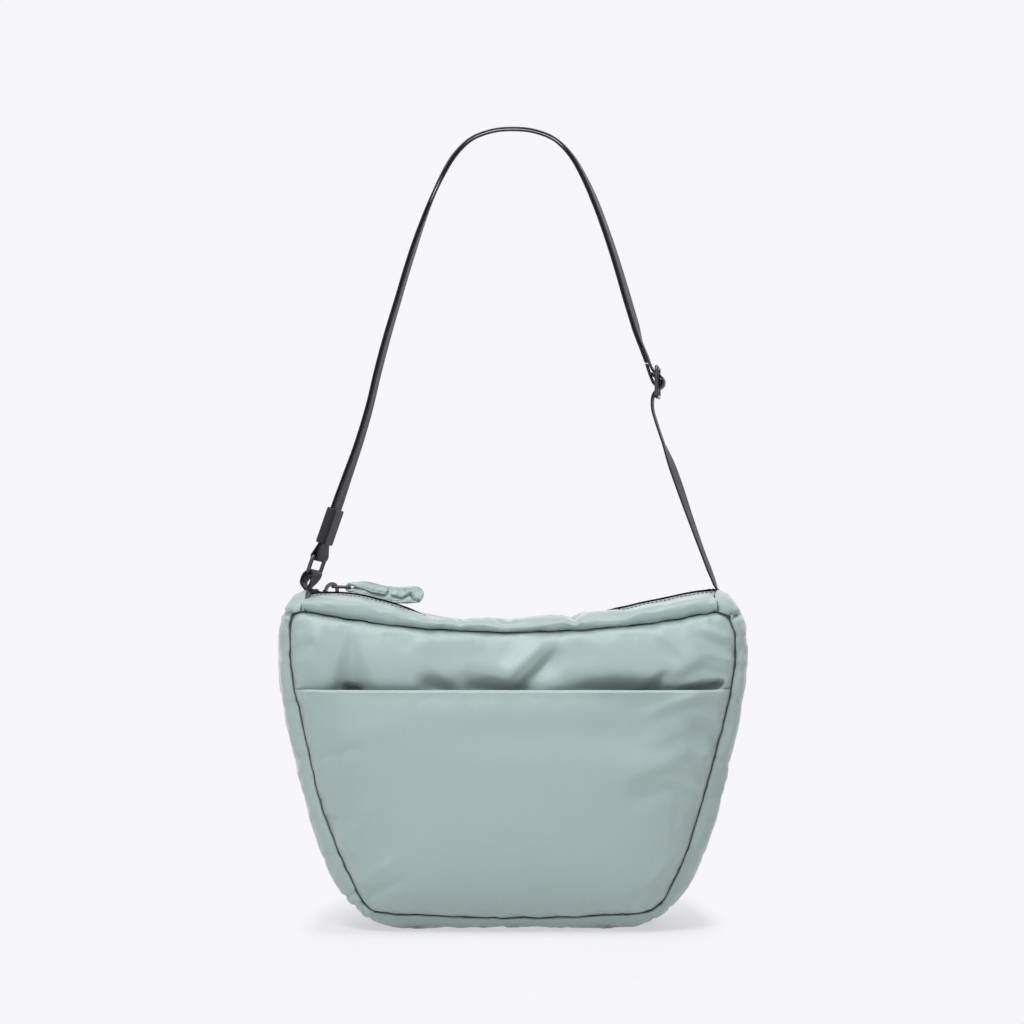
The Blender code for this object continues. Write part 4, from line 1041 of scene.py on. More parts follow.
# Name, colour, colour where it is rubbed, how much of it is, the smooth and the worn roughness, and
# metal or not
HARD_SURFACES = {
    "coil": ("zip_coil_nylon", (38, 38, 41), (70, 70, 74), 0.5, 0.32, 0.5, 0.0),
    "metal": ("dark_metal", (46, 46, 50), (116, 116, 120), 0.8, 0.24, 0.42, 1.0),
}


def make_looks():
    groups = {"weave": plain_weave(), "dye": faded_dye(), "rub": rubbed_edges()}
    made = {key: cloth_material(groups, *row) for key, row in CLOTHS.items()}
    made.update((key, metal_material(groups, *row)) for key, row in HARD_SURFACES.items())
    return made


looks = make_looks()
# The third look, dark seam nylon, is painted shade along the sewn edges
skin = [looks["nylon"], looks["lining"], looks["seam"]]

# Small pulls in the cloth: their height, their size and how far they reach from a seam
PANEL_PULLS = (0.0010, 0.011, 0.014)
GUSSET_PULLS = (0.0012, 0.009, 0.010)
BAND_PULLS = (0.0007, 0.012, 0.03)
# How often a panel's crown is smoothed, and where that begins from its edges
SOFTENINGS = 24
SOFT_EDGE = (0.006, 0.010)
# Heights between which the front panel's rows lie closer, at the pocket's mouth
CLOSER_BAND = (POCKET_MOUTH_HEIGHT - 0.002, POCKET_MOUTH_HEIGHT + 0.010)
# Thickness of the pocket and of the bands, how often the normals for the bands' inner face are evened,
# and how far the gusset's lining lies inside
POCKET_THICKNESS = 0.0012
BAND_THICKNESS = 0.0009
BAND_EVENINGS = 8
GUSSET_THICKNESS = 0.0036
# The main panels' lining: its depth at the seam, and how it steps out from there
LINING_DEPTH = SEAM_DEPTH - 0.0004
LINING_STEP = 0.0010
LINING_REACH = 0.004
# Topstitching along the bands: from the edge, thread radius, length and distance of the stitches,
# and how far from the middle of the bag it starts
STITCH_INSET = 0.0032
STITCH_RADIUS = 0.00034
STITCH_LIFT = 0.6 * STITCH_RADIUS
STITCH_LENGTH = 0.0017
STITCH_STEP = 0.0027
STITCH_MARGIN = 0.003
STITCH_FROM = 0.055


def make_bag():
    """All padded panels of the bag, from one simulation of their fabric."""
    plan = panel_plan(PITCH)
    low_plan = panel_plan(PITCH, POCKET_MOUTH_HEIGHT + POCKET_HEM)
    grids = {
        "front": main_panel_grid(-1, CROWN, plan),
        "rear": main_panel_grid(1, REAR_CROWN, plan),
        "pocket": pocket_grid(low_plan),
        "gusset": gusset_grid(PITCH),
        "front_band": band_grid(-1, PITCH),
        "rear_band": band_grid(1, PITCH),
    }
    moved = simulate(grids)
    for name, grid in grids.items():
        free = risen(edge_distance(grid), *SWELL_FREE)[..., None]
        grids[name] = grid + capped(moved[name], SWELL_LIMITS[name]) * free
    return grids


def inner_main(outer, rise):
    """The lining's face behind a main panel."""
    x, z = outer[..., 0], outer[..., 2]
    step = LINING_STEP * eased(seam_distance(x, z) / LINING_REACH)
    inner = outer.copy()
    inner[..., 1] = np.sign(outer[0, 0, 1]) * (LINING_DEPTH + step + crown(ring_share(x, z), rise))
    return inner


def softened(grid):
    """A panel with the sharp lines of its crown smoothed away, but for a strip along its edges."""
    free = risen(edge_distance(grid), *SOFT_EDGE)[1:-1, 1:-1]
    changed = grid.copy()
    depth = changed[..., 1]
    for _ in range(SOFTENINGS):
        around = (depth[:-2, 1:-1] + depth[2:, 1:-1] + depth[1:-1, :-2] + depth[1:-1, 2:]) / 4
        depth[1:-1, 1:-1] += (around - depth[1:-1, 1:-1]) * free
    return changed


def finish_main_panel(name, grid, facing, rise):
    outer = softened(refined(grid))
    if name == "front":
        outer = closer_rows(outer, *CLOSER_BAND)
    inner = inner_main(outer, rise)
    away = seam_distance(outer[..., 0], outer[..., 2])
    if name == "front":
        outer, inner = (creased(face, UPPER_CREASES, facing, UPPER_HOLLOWS) for face in (outer, inner))
    outer = puckered(outer, *PANEL_PULLS, 3.1 if facing < 0 else 8.7, away)
    sides = "up down left right"
    whole = padded_mesh(f"{name}_panel_padded", wobbled(outer), wobbled(inner), skin, sides)
    blended_halves(
        whole, [f"{name}_panel", f"{name}_wadding", f"{name}_lining"])


def finish_pocket(grid):
    outer = softened(refined(grid))
    away = seam_distance(outer[..., 0], outer[..., 2])
    outer = creased(outer, POCKET_CREASES, -1)
    outer = puckered(outer, *PANEL_PULLS, 5.9, away)
    inner = outer - grid_normals(outer) * POCKET_THICKNESS
    whole = padded_mesh("pocket_panel_folded", wobbled(outer), wobbled(inner), skin, "down left right")
    blended_halves(whole, ["pocket_panel", "pocket_lining"])


def finish_gusset(grid):
    outer = refined(grid)
    inner = refined(gusset_grid(PITCH, GUSSET_THICKNESS))
    width = np.abs(outer[..., 1])
    outer = pressed(outer, GUSSET_CREASES)
    outer = puckered(outer, *GUSSET_PULLS, 1.7, np.maximum(HALF_DEPTH - width, 0.0))
    outer = shifted(outer, OUTLINE_SHIFTS, eased((OUTLINE_DEPTH[0] - width) / OUTLINE_DEPTH[1]))
    gusset = padded_mesh("gusset_padded", wobbled(outer), wobbled(inner), skin, "up down left right")
    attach(gusset, "bag")
    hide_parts("gusset_shell", "gusset_wadding", "gusset_lining")


def finish_band(name, grid):
    outer = refined(grid)
    outer = wobbled(puckered(outer, *BAND_PULLS, 6.1, edge_distance(outer)))
    inner = outer - even_normals(outer, BAND_EVENINGS) * BAND_THICKNESS
    at_seam = "up" if np.abs(outer[0, :, 1]).mean() > np.abs(outer[-1, :, 1]).mean() else "down"
    whole = padded_mesh(f"{name}_band_padded", outer, inner, skin, f"{at_seam} left right")
    blended_halves(whole, [f"{name}_top_band"])
    stitches = zip_stitches(f"{name}_band_stitches", outer if name == "rear" else outer[::-1])
    blended_halves(stitches, [])


def finish_bag():
    grids = make_bag()
    finish_main_panel("front", grids["front"], -1, CROWN)
    finish_main_panel("rear", grids["rear"], 1, REAR_CROWN)
    finish_pocket(grids["pocket"])
    finish_gusset(grids["gusset"])
    finish_band("front", grids["front_band"])
    finish_band("rear", grids["rear_band"])


def zip_stitches(name, outer):
    """The topstitching along a band's edge: separate stitches lying on the fabric."""
    normals = grid_normals(outer)
    if normals[..., 2].mean() < 0:
        normals = -normals
    from_lip = run_along(outer[::-1], 0)[1:]
    rows = len(outer) - 2 - np.argmin(np.abs(from_lip - STITCH_INSET), axis=0)
    columns = np.arange(outer.shape[1])
    line = outer[rows, columns] + normals[rows, columns] * STITCH_LIFT
    length = walked(line)
    shapes = []
    for start in np.arange(STITCH_MARGIN, length[-1] - STITCH_MARGIN - STITCH_LENGTH, STITCH_STEP):
        points = read_at(line, length, start + STITCH_LENGTH * np.array([0, 0.5, 1]))
        if np.abs(points[:, 0]).min() > STITCH_FROM:
            shapes.append(tube(points, STITCH_RADIUS, 6))
    return joined(name, shapes, [looks["thread"]])


# Webbing, hardware and zip, placed as in the frame's source
WEBBING = 0.0013
WEBBING_WIDTH = 0.0200
SWING_HEIGHT = 0.2295
SWING_RADIUS = 0.0148
ROOT_DEPTH = 0.0115
WIRE = 0.0026
RING_BAR = Vector((-0.1236, 0.0, 0.2345))
RING_HEIGHT = 0.0113
RING_WIDTH = 0.0236
CORNER = 0.0022
RING_YAW = 17.0
TAB_OUTER_SHARES = ((-0.45, -0.76, 0.4), (-0.55, -0.50, 1.0), (-0.40, -0.12, 1.8))
TAB_BEND_SHARES = (0.12, 0.28, 0.44, 0.60, 0.76, 0.92, 1.06)
TAB_INNER_SHARES = ((0.13, -0.24, 1.8), (-0.06, -0.56, 1.0), (-0.23, -0.80, 0.4))
STRAP_TOP = 0.5080
ARCH_SHARES = (
    (1.000, 0.000), (0.931, 0.090), (0.862, 0.180), (0.793, 0.270), (0.740, 0.352), (0.697, 0.434),
    (0.649, 0.516), (0.594, 0.600), (0.539, 0.684), (0.476, 0.770), (0.426, 0.830), (0.370, 0.886),
    (0.312, 0.932), (0.232, 0.971), (0.120, 0.994), (0.000, 1.000),
)
LOOP_SPREAD_SHARES = ((0.030, 0.0), (0.016, 0.42), (0.004, 0.95))
LEFT_YAWS = (
    (0.0, 17.0), (0.010, 17.0), (0.030, 11.9), (0.13, 11.9), (0.18, 9.5), (0.25, 6.8), (0.367, 4.8),
    (0.484, 5.0), (0.60, 3.2), (0.716, 2.8), (0.834, -1.8), (0.927, -3.5), (1.0, -1.0),
)
RIGHT_YAWS = (
    (0.0, 6.0), (0.42, 6.0), (0.50, 11.0), (0.60, 12.5), (0.72, 10.9), (0.834, 9.0), (0.927, 4.0),
    (1.0, -1.0),
)
RIGHT_YAW = 6.0
# How much the webbing's far edge is raised at the top, and over which share of the climb it comes up
TOP_TILT = 0.12
TILT_SHARES = (0.7, 0.28)
ARCH_SPLIT_SHARE = 0.660
KEEPER_LOW_SHARE = 0.031
KEEPER_LENGTH = 0.0235
KEEPER_WALL = 0.0011
KEEPER_EASE = 0.0008
GLIDE = Vector((0.0926, 0.0, 0.3462))
BAR_PITCH = 0.00935
GLIDE_WIDTH = 0.0236
WEAVE_SHARES = (
    (-1.11, 2.72), (-0.72, 1.80), (-0.43, 1.03), (-0.20, 0.66), (0.20, 0.43), (0.425, 0.09),
    (0.40, -0.20), (0.13, -0.46), (-0.18, -0.70), (-0.32, -1.00), (-0.36, -1.39), (-0.33, -1.87),
    (-0.13, -2.59), (0.41, -4.22),
)
RETURN_SHARES = ((-1.26, 2.62), (-0.95, 1.80), (-0.79, 1.36))
STITCHED_SHARES = (
    (-0.74, 1.22), (-0.58, 0.72), (-0.37, 0.16), (-0.19, -0.17), (0.05, -0.245), (0.24, -0.05),
    (0.21, 0.17), (-0.02, 0.255), (-0.20, 0.36), (-0.37, 0.62),
)
LOWER_YAW = 16.0
# Height at which the lower run is cut, into a piece that leaves the bag and one that reaches the
# tri-glide
WAIST = 0.255
LOWER_RUN_SHARES = (
    (0.220, 0.608, 0.92), (0.323, 0.525, 1.0), (0.531, 0.350, 0.82), (0.747, 0.175, 0.65),
    (0.901, 0.0586, 0.58), (0.985, -0.002, 0.2),
)
PAIR = (WEBBING + GAP) / 2
BEND = WIRE / 2 + GAP + WEBBING / 2

# Half width and half thickness of webbing round its section, as shares
SECTION_SHARES = (
    (-1.0, 0.0), (-0.985, 0.50), (-0.95, 0.82), (-0.88, 1.0), (-0.55, 0.94), (-0.18, 0.97),
    (0.18, 0.97), (0.55, 0.94), (0.88, 1.0), (0.95, 0.82), (0.985, 0.50), (1.0, 0.0),
)


def yawed(degrees):
    """The Y axis turned about the vertical, so that webbing that faces it shows its right-hand face."""
    turn = math.radians(degrees)
    return Vector((math.sin(turn), math.cos(turn), 0.0))


def square_to(wide, tangent):
    return (wide - tangent * wide.dot(tangent)).normalized()


def framed(stations):
    """Centre, width direction and face normal at each station of a centre and a wanted width direction."""
    steps = [(b[0] - a[0]).normalized() for a, b in zip(stations, stations[1:])]
    frames = []
    for (centre, wanted), before, after in zip(stations, [steps[0], *steps], [*steps, steps[-1]]):
        tangent = (before + after).normalized()
        wide = square_to(wanted, tangent)
        frames.append((centre, wide, wide.cross(tangent)))
    return frames


def beside(stations, offset):
    """The same run moved sideways along its face normal."""
    frames = framed(stations)
    return [(centre + face * offset, wanted) for (centre, _, face), (_, wanted) in zip(frames, stations)]


def flat_run(route):
    """Stations from a route of x, z and yaw in degrees. At the top the webbing's far edge is raised."""
    climb = STRAP_TOP - RING_BAR.z
    stations = []
    for x, z, yaw in route:
        tilt = TOP_TILT * float(risen((z - RING_BAR.z) / climb, *TILT_SHARES))
        stations.append((Vector((x, 0.0, z)), yawed(yaw) + Vector((0, 0, tilt))))
    return stations


def evened(stations, pitch):
    """The same run at an even pitch."""
    centres, wanted = (np.array([tuple(vector) for vector in column]) for column in zip(*stations))
    length = walked(centres)
    keep = np.concatenate([[True], np.diff(length) > 1e-6])
    count = max(2, round(length[-1] / pitch))
    shares = np.linspace(0.0, 1.0, count + 1)
    spots = placed(centres[keep], shares)
    wide = read_at(wanted[keep], length[keep], shares * length[-1])
    return [(Vector(spot), Vector(direction)) for spot, direction in zip(spots, wide)]


def ring_faces(count, sides, closed=False):
    """The faces between so many rings of points, each joined to the next."""
    faces = []
    for k in range(count if closed else count - 1):
        after = (k + 1) % count * sides
        for i in range(sides):
            j = (i + 1) % sides
            faces.append((k * sides + i, k * sides + j, after + j, after + i))
    return faces


def webbing(name, stations, look, width=WEBBING_WIDTH, thickness=WEBBING, pitch=0.0013, shape=SECTION_SHARES):
    """A strip along a run, with soft edges and its flat place on the cloth. Its width may be a function."""
    half = list(shape)
    section = half + [(w, -t) for w, t in half[-2:0:-1]]
    frames = framed(evened(stations, pitch))
    count = len(section)
    points, places = [], []
    run = walked(np.array([tuple(centre) for centre, wide, face in frames]))
    widths = width(run) if callable(width) else np.broadcast_to(width, len(frames))
    for (centre, wide, face), along, here in zip(frames, run, widths):
        for w, t in section:
            points.append(centre + wide * (w * here / 2) + face * (t * thickness / 2))
            places.append((w * here / 2, along))
    faces = ring_faces(len(frames), count)
    last = (len(frames) - 1) * count
    for start, turned in ((0, True), (last, False)):
        for i in range(len(half) - 1):
            a, b = start + i, start + i + 1
            c, d = start + (count - i - 1) % count, start + (count - i) % count
            corners = [v for k, v in enumerate((a, b, c, d)) if v not in (a, b, c, d)[:k]]
            faces.append(corners[::-1] if turned else corners)
    piece = mesh_piece(name, points, faces, [look], places)
    outward(piece)
    return piece


def outward(piece):
    """Turns every face of a closed piece to the outside."""
    mesh = bmesh.new()
    mesh.from_mesh(piece.data)
    bmesh.ops.recalc_face_normals(mesh, faces=mesh.faces)
    mesh.to_mesh(piece.data)
    mesh.free()


def tube(points, radius, sides, plane_normal=None, closed=False):
    """Points and faces of round wire along a path in a plane, or along any path without one."""
    path = [Vector(point) for point in points]
    count = len(path)
    radii = np.broadcast_to(radius, count)
    rings = []
    for k in range(count):
        before = path[k - 1] if closed or k else path[0]
        after = path[(k + 1) % count] if closed or k < count - 1 else path[-1]
        tangent = (after - before).normalized()
        up = plane_normal or (Vector((0, 0, 1)) if abs(tangent.z) < 0.9 else Vector((1, 0, 0)))
        outside = tangent.cross(up).normalized()
        above = outside.cross(tangent)
        for i in range(sides):
            turn = 2 * math.pi * i / sides
            rings.append(path[k] + (outside * math.cos(turn) + above * math.sin(turn)) * radii[k])
    faces = ring_faces(count, sides, closed)
    if not closed:
        faces += [tuple(range(sides))[::-1], tuple(range((count - 1) * sides, count * sides))]
    return rings, faces


def joined(name, shapes, looks_used, places=None):
    """One piece from several sets of points and faces."""
    points, faces = [], []
    for some_points, some_faces in shapes:
        start = len(points)
        points += list(some_points)
        faces += [tuple(start + index for index in face) for face in some_faces]
    piece = mesh_piece(name, points, faces, looks_used, places)
    outward(piece)
    return piece


def planar_loop(centre, across_axis, up_axis, half_width, half_height, corner, steps, straight=6):
    """Points of a rounded rectangle in the plane of two unit axes."""
    corners = []
    for quarter in range(4):
        sign_x = (1, -1, -1, 1)[quarter]
        sign_z = (1, 1, -1, -1)[quarter]
        for k in range(steps + 1):
            turn = math.radians(90) * (quarter + k / steps)
            u = sign_x * (half_width - corner) + corner * math.cos(turn)
            v = sign_z * (half_height - corner) + corner * math.sin(turn)
            corners.append(centre + across_axis * u + up_axis * v)
    points = []
    for k, point in enumerate(corners):
        after = corners[(k + 1) % len(corners)]
        points.append(point)
        if k % (steps + 1) == steps:
            points += [point.lerp(after, i / straight) for i in range(1, straight)]
    return points


def leg_direction():
    """The way up the straight lower part of the left leg."""
    run = (ARCH_SHARES[3][0] - ARCH_SHARES[0][0]) * RING_BAR.x
    return Vector((run, 0.0, ARCH_SHARES[3][1] * (STRAP_TOP - RING_BAR.z))).normalized()


def ring_frame():
    """The way up along the leg, the ring's width direction and its face normal."""
    up = leg_direction()
    wide = square_to(yawed(RING_YAW), up)
    return up, wide, wide.cross(up)


def round_bar(bar, over, face, wide, radius, shares):
    """Stations round a bar, by shares of the half turn from the face side over the bar."""
    turns = [math.pi * share for share in shares]
    return [
        (bar + face * (radius * math.cos(turn)) + over * (radius * math.sin(turn)), wide) for turn in turns
    ]


def arch_yaw(share, table=LEFT_YAWS):
    """The webbing's yaw at a share of the arch's height."""
    return float(np.interp(share, *zip(*table)))


def arch_route():
    """The middle of the strap's two layers from the foot of the right leg over the top to the left ring."""
    both = [*ARCH_SHARES, *((-x, z) for x, z in ARCH_SHARES[-2::-1])]
    climb = STRAP_TOP - RING_BAR.z
    return [
        (-RING_BAR.x * x, RING_BAR.z + climb * z, arch_yaw(z, RIGHT_YAWS if x > 0 else LEFT_YAWS), z)
        for x, z in smooth_route(both, 8)
    ]


def split_route():
    """The arch above the tri-glide's stretch, and that stretch going down."""
    route = arch_route()
    middle = len(route) // 2
    leg = route[:middle]
    shares = [point[3] for point in leg]
    split = tuple(np.interp(ARCH_SPLIT_SHARE, shares, [point[k] for point in leg]) for k in range(4))
    above = [split, *(point for point in leg if point[3] > ARCH_SPLIT_SHARE), *route[middle:]]
    below = [split, *reversed([point for point in leg if point[3] < ARCH_SPLIT_SHARE])]
    return above, below


def glide_frame():
    """The tri-glide's width direction, its face normal and the way up."""
    up = Vector((0.0, 0.0, 1.0))
    wide = yawed(RIGHT_YAW)
    return wide, wide.cross(up), up


def glide_run(shares, steps=6):
    """Stations through the tri-glide, by shares of the bar pitch out from the middle bar and up from it."""
    wide, face, up = glide_frame()
    return [
        (GLIDE + face * (a * BAR_PITCH) + up * (b * BAR_PITCH), wide) for a, b in smooth_route(shares, steps)
    ]


def main_run():
    """The strap in one run: up from under the tri-glide, over the top, round the ring and back again."""
    above, below = split_route()
    middle = flat_run([point[:3] for point in above if point[0] > 0 or point[3] > LOOP_SPREAD_SHARES[0][0]])
    up, wide, face = ring_frame()
    down, back = [], []
    for share, spread in LOOP_SPREAD_SHARES:
        foot = RING_BAR + up * (share * (STRAP_TOP - RING_BAR.z) / up.z)
        turned = yawed(arch_yaw(share))
        away = up.cross(square_to(turned, up)) * (PAIR + (BEND - PAIR) * spread)
        down.append((foot + away, turned))
        back.append((foot - away, turned))
    bend = round_bar(RING_BAR, -up, -face, wide, BEND, [k / 16 for k in range(17)])
    arch = [*beside(middle, PAIR), *down, *bend, *reversed(back), *reversed(beside(middle, -PAIR))]
    first_z = GLIDE.z + WEAVE_SHARES[0][1] * BAR_PITCH
    leg = flat_run([point[:3] for point in below if point[1] > first_z + BAR_PITCH])
    outer = [*beside(leg, -PAIR)[1:], *glide_run(WEAVE_SHARES)]
    inner = [*beside(leg, PAIR)[1:], *glide_run(RETURN_SHARES, 3)]
    return [*reversed(outer), *arch, *inner]


def lower_run():
    """The single layer from below the tri-glide down into the seam at the right end of the mouth."""
    root_z = SWING_HEIGHT - SWING_RADIUS
    joint = glide_run(WEAVE_SHARES[-2:], 1)[-1][0]
    route = [(joint.x, joint.z, RIGHT_YAW)]
    route += [
        (GLIDE.x + a * (SEAM_X - GLIDE.x), root_z + b * (GLIDE.z - root_z), LOWER_YAW * c)
        for a, b, c in LOWER_RUN_SHARES
    ]
    route += [(SEAM_X, root_z - WEBBING, 0.0), (SEAM_X, HEIGHT - ROOT_DEPTH, 0.0)]
    return flat_run(smooth_route(route, 10))


def tab_run():
    """The loop that holds the ring: up from the seam, over the ring's lower bar and back."""
    up, wide, face = ring_frame()
    bar = RING_BAR - up * RING_HEIGHT
    low = HEIGHT - ROOT_DEPTH
    bend_low = SWING_HEIGHT - SWING_RADIUS - WEBBING
    outer, inner = (
        [(bar.x + a * RING_HEIGHT, bar.z + b * RING_HEIGHT, RING_YAW / 2 * c) for a, b, c in shares]
        for shares in (TAB_OUTER_SHARES, TAB_INNER_SHARES)
    )
    outer = [(-SEAM_X - PAIR, low, 0.0), (-SEAM_X - PAIR, bend_low, 0.0), *outer]
    inner = [*inner, (-SEAM_X + PAIR, bend_low, 0.0), (-SEAM_X + PAIR, low, 0.0)]
    bend = round_bar(bar, up, -face, wide, BEND, TAB_BEND_SHARES)
    return [*flat_run(smooth_route(outer, 6)), *bend, *flat_run(smooth_route(inner, 6))]


def split_at(stations, level, keep_above):
    """The part of a run above or below a level, with its end on the level."""
    kept = []
    for (a, wide), (b, other) in zip(stations, stations[1:]):
        inside = a.z >= level if keep_above else a.z <= level
        if inside:
            kept.append((a, wide))
        if (a.z - level) * (b.z - level) < 0:
            share = (level - a.z) / (b.z - a.z)
            kept.append((a.lerp(b, share), wide.lerp(other, share)))
    last = stations[-1]
    if (last[0].z >= level) == keep_above:
        kept.append(last)
    return kept


def finish_strap():
    up, wide, face = ring_frame()
    strap = webbing("strap_webbing_run", main_run(), looks["webbing"])
    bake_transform(strap)
    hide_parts("strap_webbing", "strap_adjuster_run", "strap_return_run")

    end = webbing("strap_sewn_end", glide_run(STITCHED_SHARES, 8), looks["webbing"])
    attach(end, "triglide")
    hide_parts("strap_stitched_end")

    down = lower_run()
    upper = webbing("strap_lower_webbing", split_at(down, WAIST, True), looks["webbing"])
    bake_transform(upper)
    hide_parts("strap_lower_run")
    root = webbing("strap_root_webbing", split_at(down, WAIST, False), looks["webbing"])
    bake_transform(root)
    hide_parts("strap_seam_end")

    tab = webbing("ring_tab_webbing", tab_run(), looks["webbing"])
    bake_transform(tab)
    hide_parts("ring_tab", "tab_seam_end")

    middle = RING_BAR - up * (RING_HEIGHT / 2)
    loop = planar_loop(middle, wide, up, RING_WIDTH / 2, RING_HEIGHT / 2, CORNER, 8)
    ring = joined("strap_ring_wire", [tube(loop, WIRE / 2, 20, face, closed=True)], [looks["metal"]])
    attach(ring, "strap")
    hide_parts("strap_ring")

    wide, face, up = glide_frame()
    loop = planar_loop(GLIDE, wide, up, GLIDE_WIDTH / 2, BAR_PITCH, CORNER, 8)
    bar = [GLIDE + wide * (share * GLIDE_WIDTH / 2) for share in np.linspace(-1, 1, 25)]
    shapes = [tube(loop, WIRE / 2, 20, face, closed=True), tube(bar, WIRE / 2, 20, up)]
    glide = joined("triglide_frame", shapes, [looks["metal"]])
    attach(glide, "triglide")
    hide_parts("triglide")
    finish_keeper()


def finish_keeper():
    """The sleeve round both layers: a short piece of webbing sewn into a tube."""
    up = leg_direction()
    wide = square_to(yawed(arch_yaw(KEEPER_LOW_SHARE)), up)
    thick = wide.cross(up)
    foot = RING_BAR + up * (KEEPER_LOW_SHARE * (STRAP_TOP - RING_BAR.z) / up.z)
    half_wide = WEBBING_WIDTH / 2 + KEEPER_EASE + KEEPER_WALL / 2
    half_thick = WEBBING + GAP / 2 + KEEPER_EASE + KEEPER_WALL / 2
    loop = planar_loop(Vector(), wide, thick, half_wide, half_thick, half_thick * 0.9, 6, straight=14)
    loop.append(loop[0])
    middle = foot + up * (KEEPER_LENGTH / 2)
    stations = [(middle + point, up) for point in loop]
    sleeve = webbing(
        "strap_keeper_sleeve", stations, looks["webbing"], KEEPER_LENGTH, KEEPER_WALL, pitch=0.0008)
    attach(sleeve, "keeper")
    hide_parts("strap_keeper")


# Zip: coil, tape, slider, link and the folded fabric pull
ZIP_RADIUS = arc_radius(SEAM_X, ZIP_RISE)
SLIDER_X = -0.1168
SLIDER_ALONG = math.asin(SLIDER_X / ZIP_RADIUS) * ZIP_RADIUS
CHAIN_HALF = 0.1262
COIL_PITCH = 0.0015
COIL_WIRE = 0.00033
COIL_MARGIN = 0.001
# Where the coil's turns begin, as shares of their pitch, on the front and on the rear chain
COIL_STARTS = (0.25, 0.75)
COIL_NEAR = -0.0009
COIL_NOSE = 0.0004
COIL_TURN = 0.0012
COIL_FAR = 0.0031
COIL_HALF_HEIGHT = 0.00085
# A turn of the coil by depth, and by height in shares of its half height
COIL_SECTION = (
    (COIL_FAR, 0.75), (COIL_TURN, 1.0), (COIL_NEAR + COIL_NOSE, 1.0), (COIL_NEAR, 0.0),
    (COIL_NEAR + COIL_NOSE, -1.0), (COIL_TURN, -1.0), (COIL_FAR, -0.75),
)
TAPE = 0.0005
TAPE_SHORT = 0.0022
# The tape by depth, and by share of the way from the chain up to the band's edge
TAPE_SECTION = ((0.0031, 0.0), (0.0046, 0.0), (0.0056, 0.12), (0.0063, 0.5), (0.0067, 1.0))
# How far the tape stands over the band's edge at the sides and lies under it in the middle, where
# that changes by x, how soon it ends, and from which x on it follows the edge even below the chain
TAPE_PROUD = 0.0011
TAPE_UNDER = 0.0008
TAPE_CHANGE_X = (0.050, 0.018)
TAPE_END_REACH = 0.003
TAPE_LOW_FROM = 0.095
CHAIN_THICKNESS = 0.0024
SLIDER_PLATE = 0.0010
BRIDGE_RISE = 0.0056
BRIDGE_THICKNESS = 0.0011
BRIDGE_SWELL = 0.0009
METAL_EDGE = 0.00022
LINK_LENGTH = 0.0128
LINK_WIDTH = 0.0086
LINK_WIRE = 0.0018
LINK_DROOP = -2.0
PULL_WIDTH = 0.0120
PULL_WIDTH_IN_LINK = 0.0041
PULL_THICKNESS = 0.0019
PULL_TOP_LENGTH = 0.0270
PULL_TAIL_LENGTH = 0.0470
PULL_ROLL = 60.0
PULL_ROLLED_SHARE = 0.30
PULL_SPREAD_SHARE = 0.10
PULL_WIDENING = 0.0065
PULL_LEAST_WIDTH = 0.0012
# The shorter end on top: how far it lies towards the upper edge by the distance from the bar, and
# its width
PULL_TOP_RAISED = ((0.0, 0.0), (0.004, 0.0026), (0.009, 0.0030), (0.014, 0.0018), (0.028, 0.0012))
PULL_TOP_WIDTHS = ((0.0, 0.0080), (0.007, 0.0088), (0.012, 0.0072), (0.030, 0.0066))
PULL_TOP_CORNER = 0.0026
PULL_TAIL_CORNER = 0.0056
# Across the tab: how square its sides are, and its stitched grooves by place, half width and depth,
# as shares
PULL_FULLNESS = 3.4
PULL_GROOVES = ((0.78, 0.045, 0.80), (0.55, 0.045, 0.70))
# Soft dents all over it by depth in millimetres and by fineness
PULL_DENTS = ((0.45, 260.0), (0.25, 520.0))
# Folds in the tail by x from its end and z from its middle in millimetres, half width and height
PULL_FOLDS = (
    ((-21, -1.0), (-14, -2.6), 0.5, -4.6),
    ((-14, -2.6), (-8.5, 0.2), 0.5, -5.0),
    ((-8.5, 0.2), (-6.5, -3.4), 0.5, -4.2),
    ((-6.5, -3.4), (-2.5, -4.4), 0.5, -3.2),
    ((-12, 3.4), (-4, 2.6), 2.2, 0.9),
    ((-13, -5.0), (-8, -4.2), 1.2, 0.9),
    ((-34, 1.2), (-24, 0.2), 0.6, -2.4),
    ((-30, -3.6), (-21, -4.2), 0.5, -2.8),
)
FOLDED_LENGTH = 0.021
PULL_ROUTE_SHARES = (
    (0.0, 0.0), (0.10, -0.010), (0.30, -0.050), (0.55, -0.088), (0.80, -0.098), (1.0, -0.070),
)


def on_zip(along, sideways, up):
    """A point by its length along the zip's arc from its middle, its side and its height over the arc."""
    turn = along / ZIP_RADIUS
    reach = ZIP_RADIUS - up
    return Vector((reach * math.sin(turn), sideways, ZIP_LOW + ZIP_RADIUS - reach * math.cos(turn)))


def finish_zip():
    start = SLIDER_ALONG - COIL_MARGIN
    count = int((CHAIN_HALF - COIL_MARGIN - start) / COIL_PITCH)
    for facing, name, first in ((-1, "front", COIL_STARTS[0]), (1, "rear", COIL_STARTS[1])):
        teeth = []
        for k in range(count):
            along = start + (k + first) * COIL_PITCH
            path = [on_zip(along, facing * depth, COIL_HALF_HEIGHT * share) for depth, share in COIL_SECTION]
            teeth.append(tube(path, COIL_WIRE, 6, Vector((1.0, 0.0, 0.0))))
        coil = joined(f"{name}_zip_coil", teeth, [looks["coil"]])
        blended_halves(coil, [f"{name}_zip_chain"])
        finish_tape(name, facing)
    for end in ("left", "right"):
        eased_node(f"zip_stop_{end}")
    eased_node("slider_body")
    eased_node("slider_bridge", BRIDGE_SWELL)


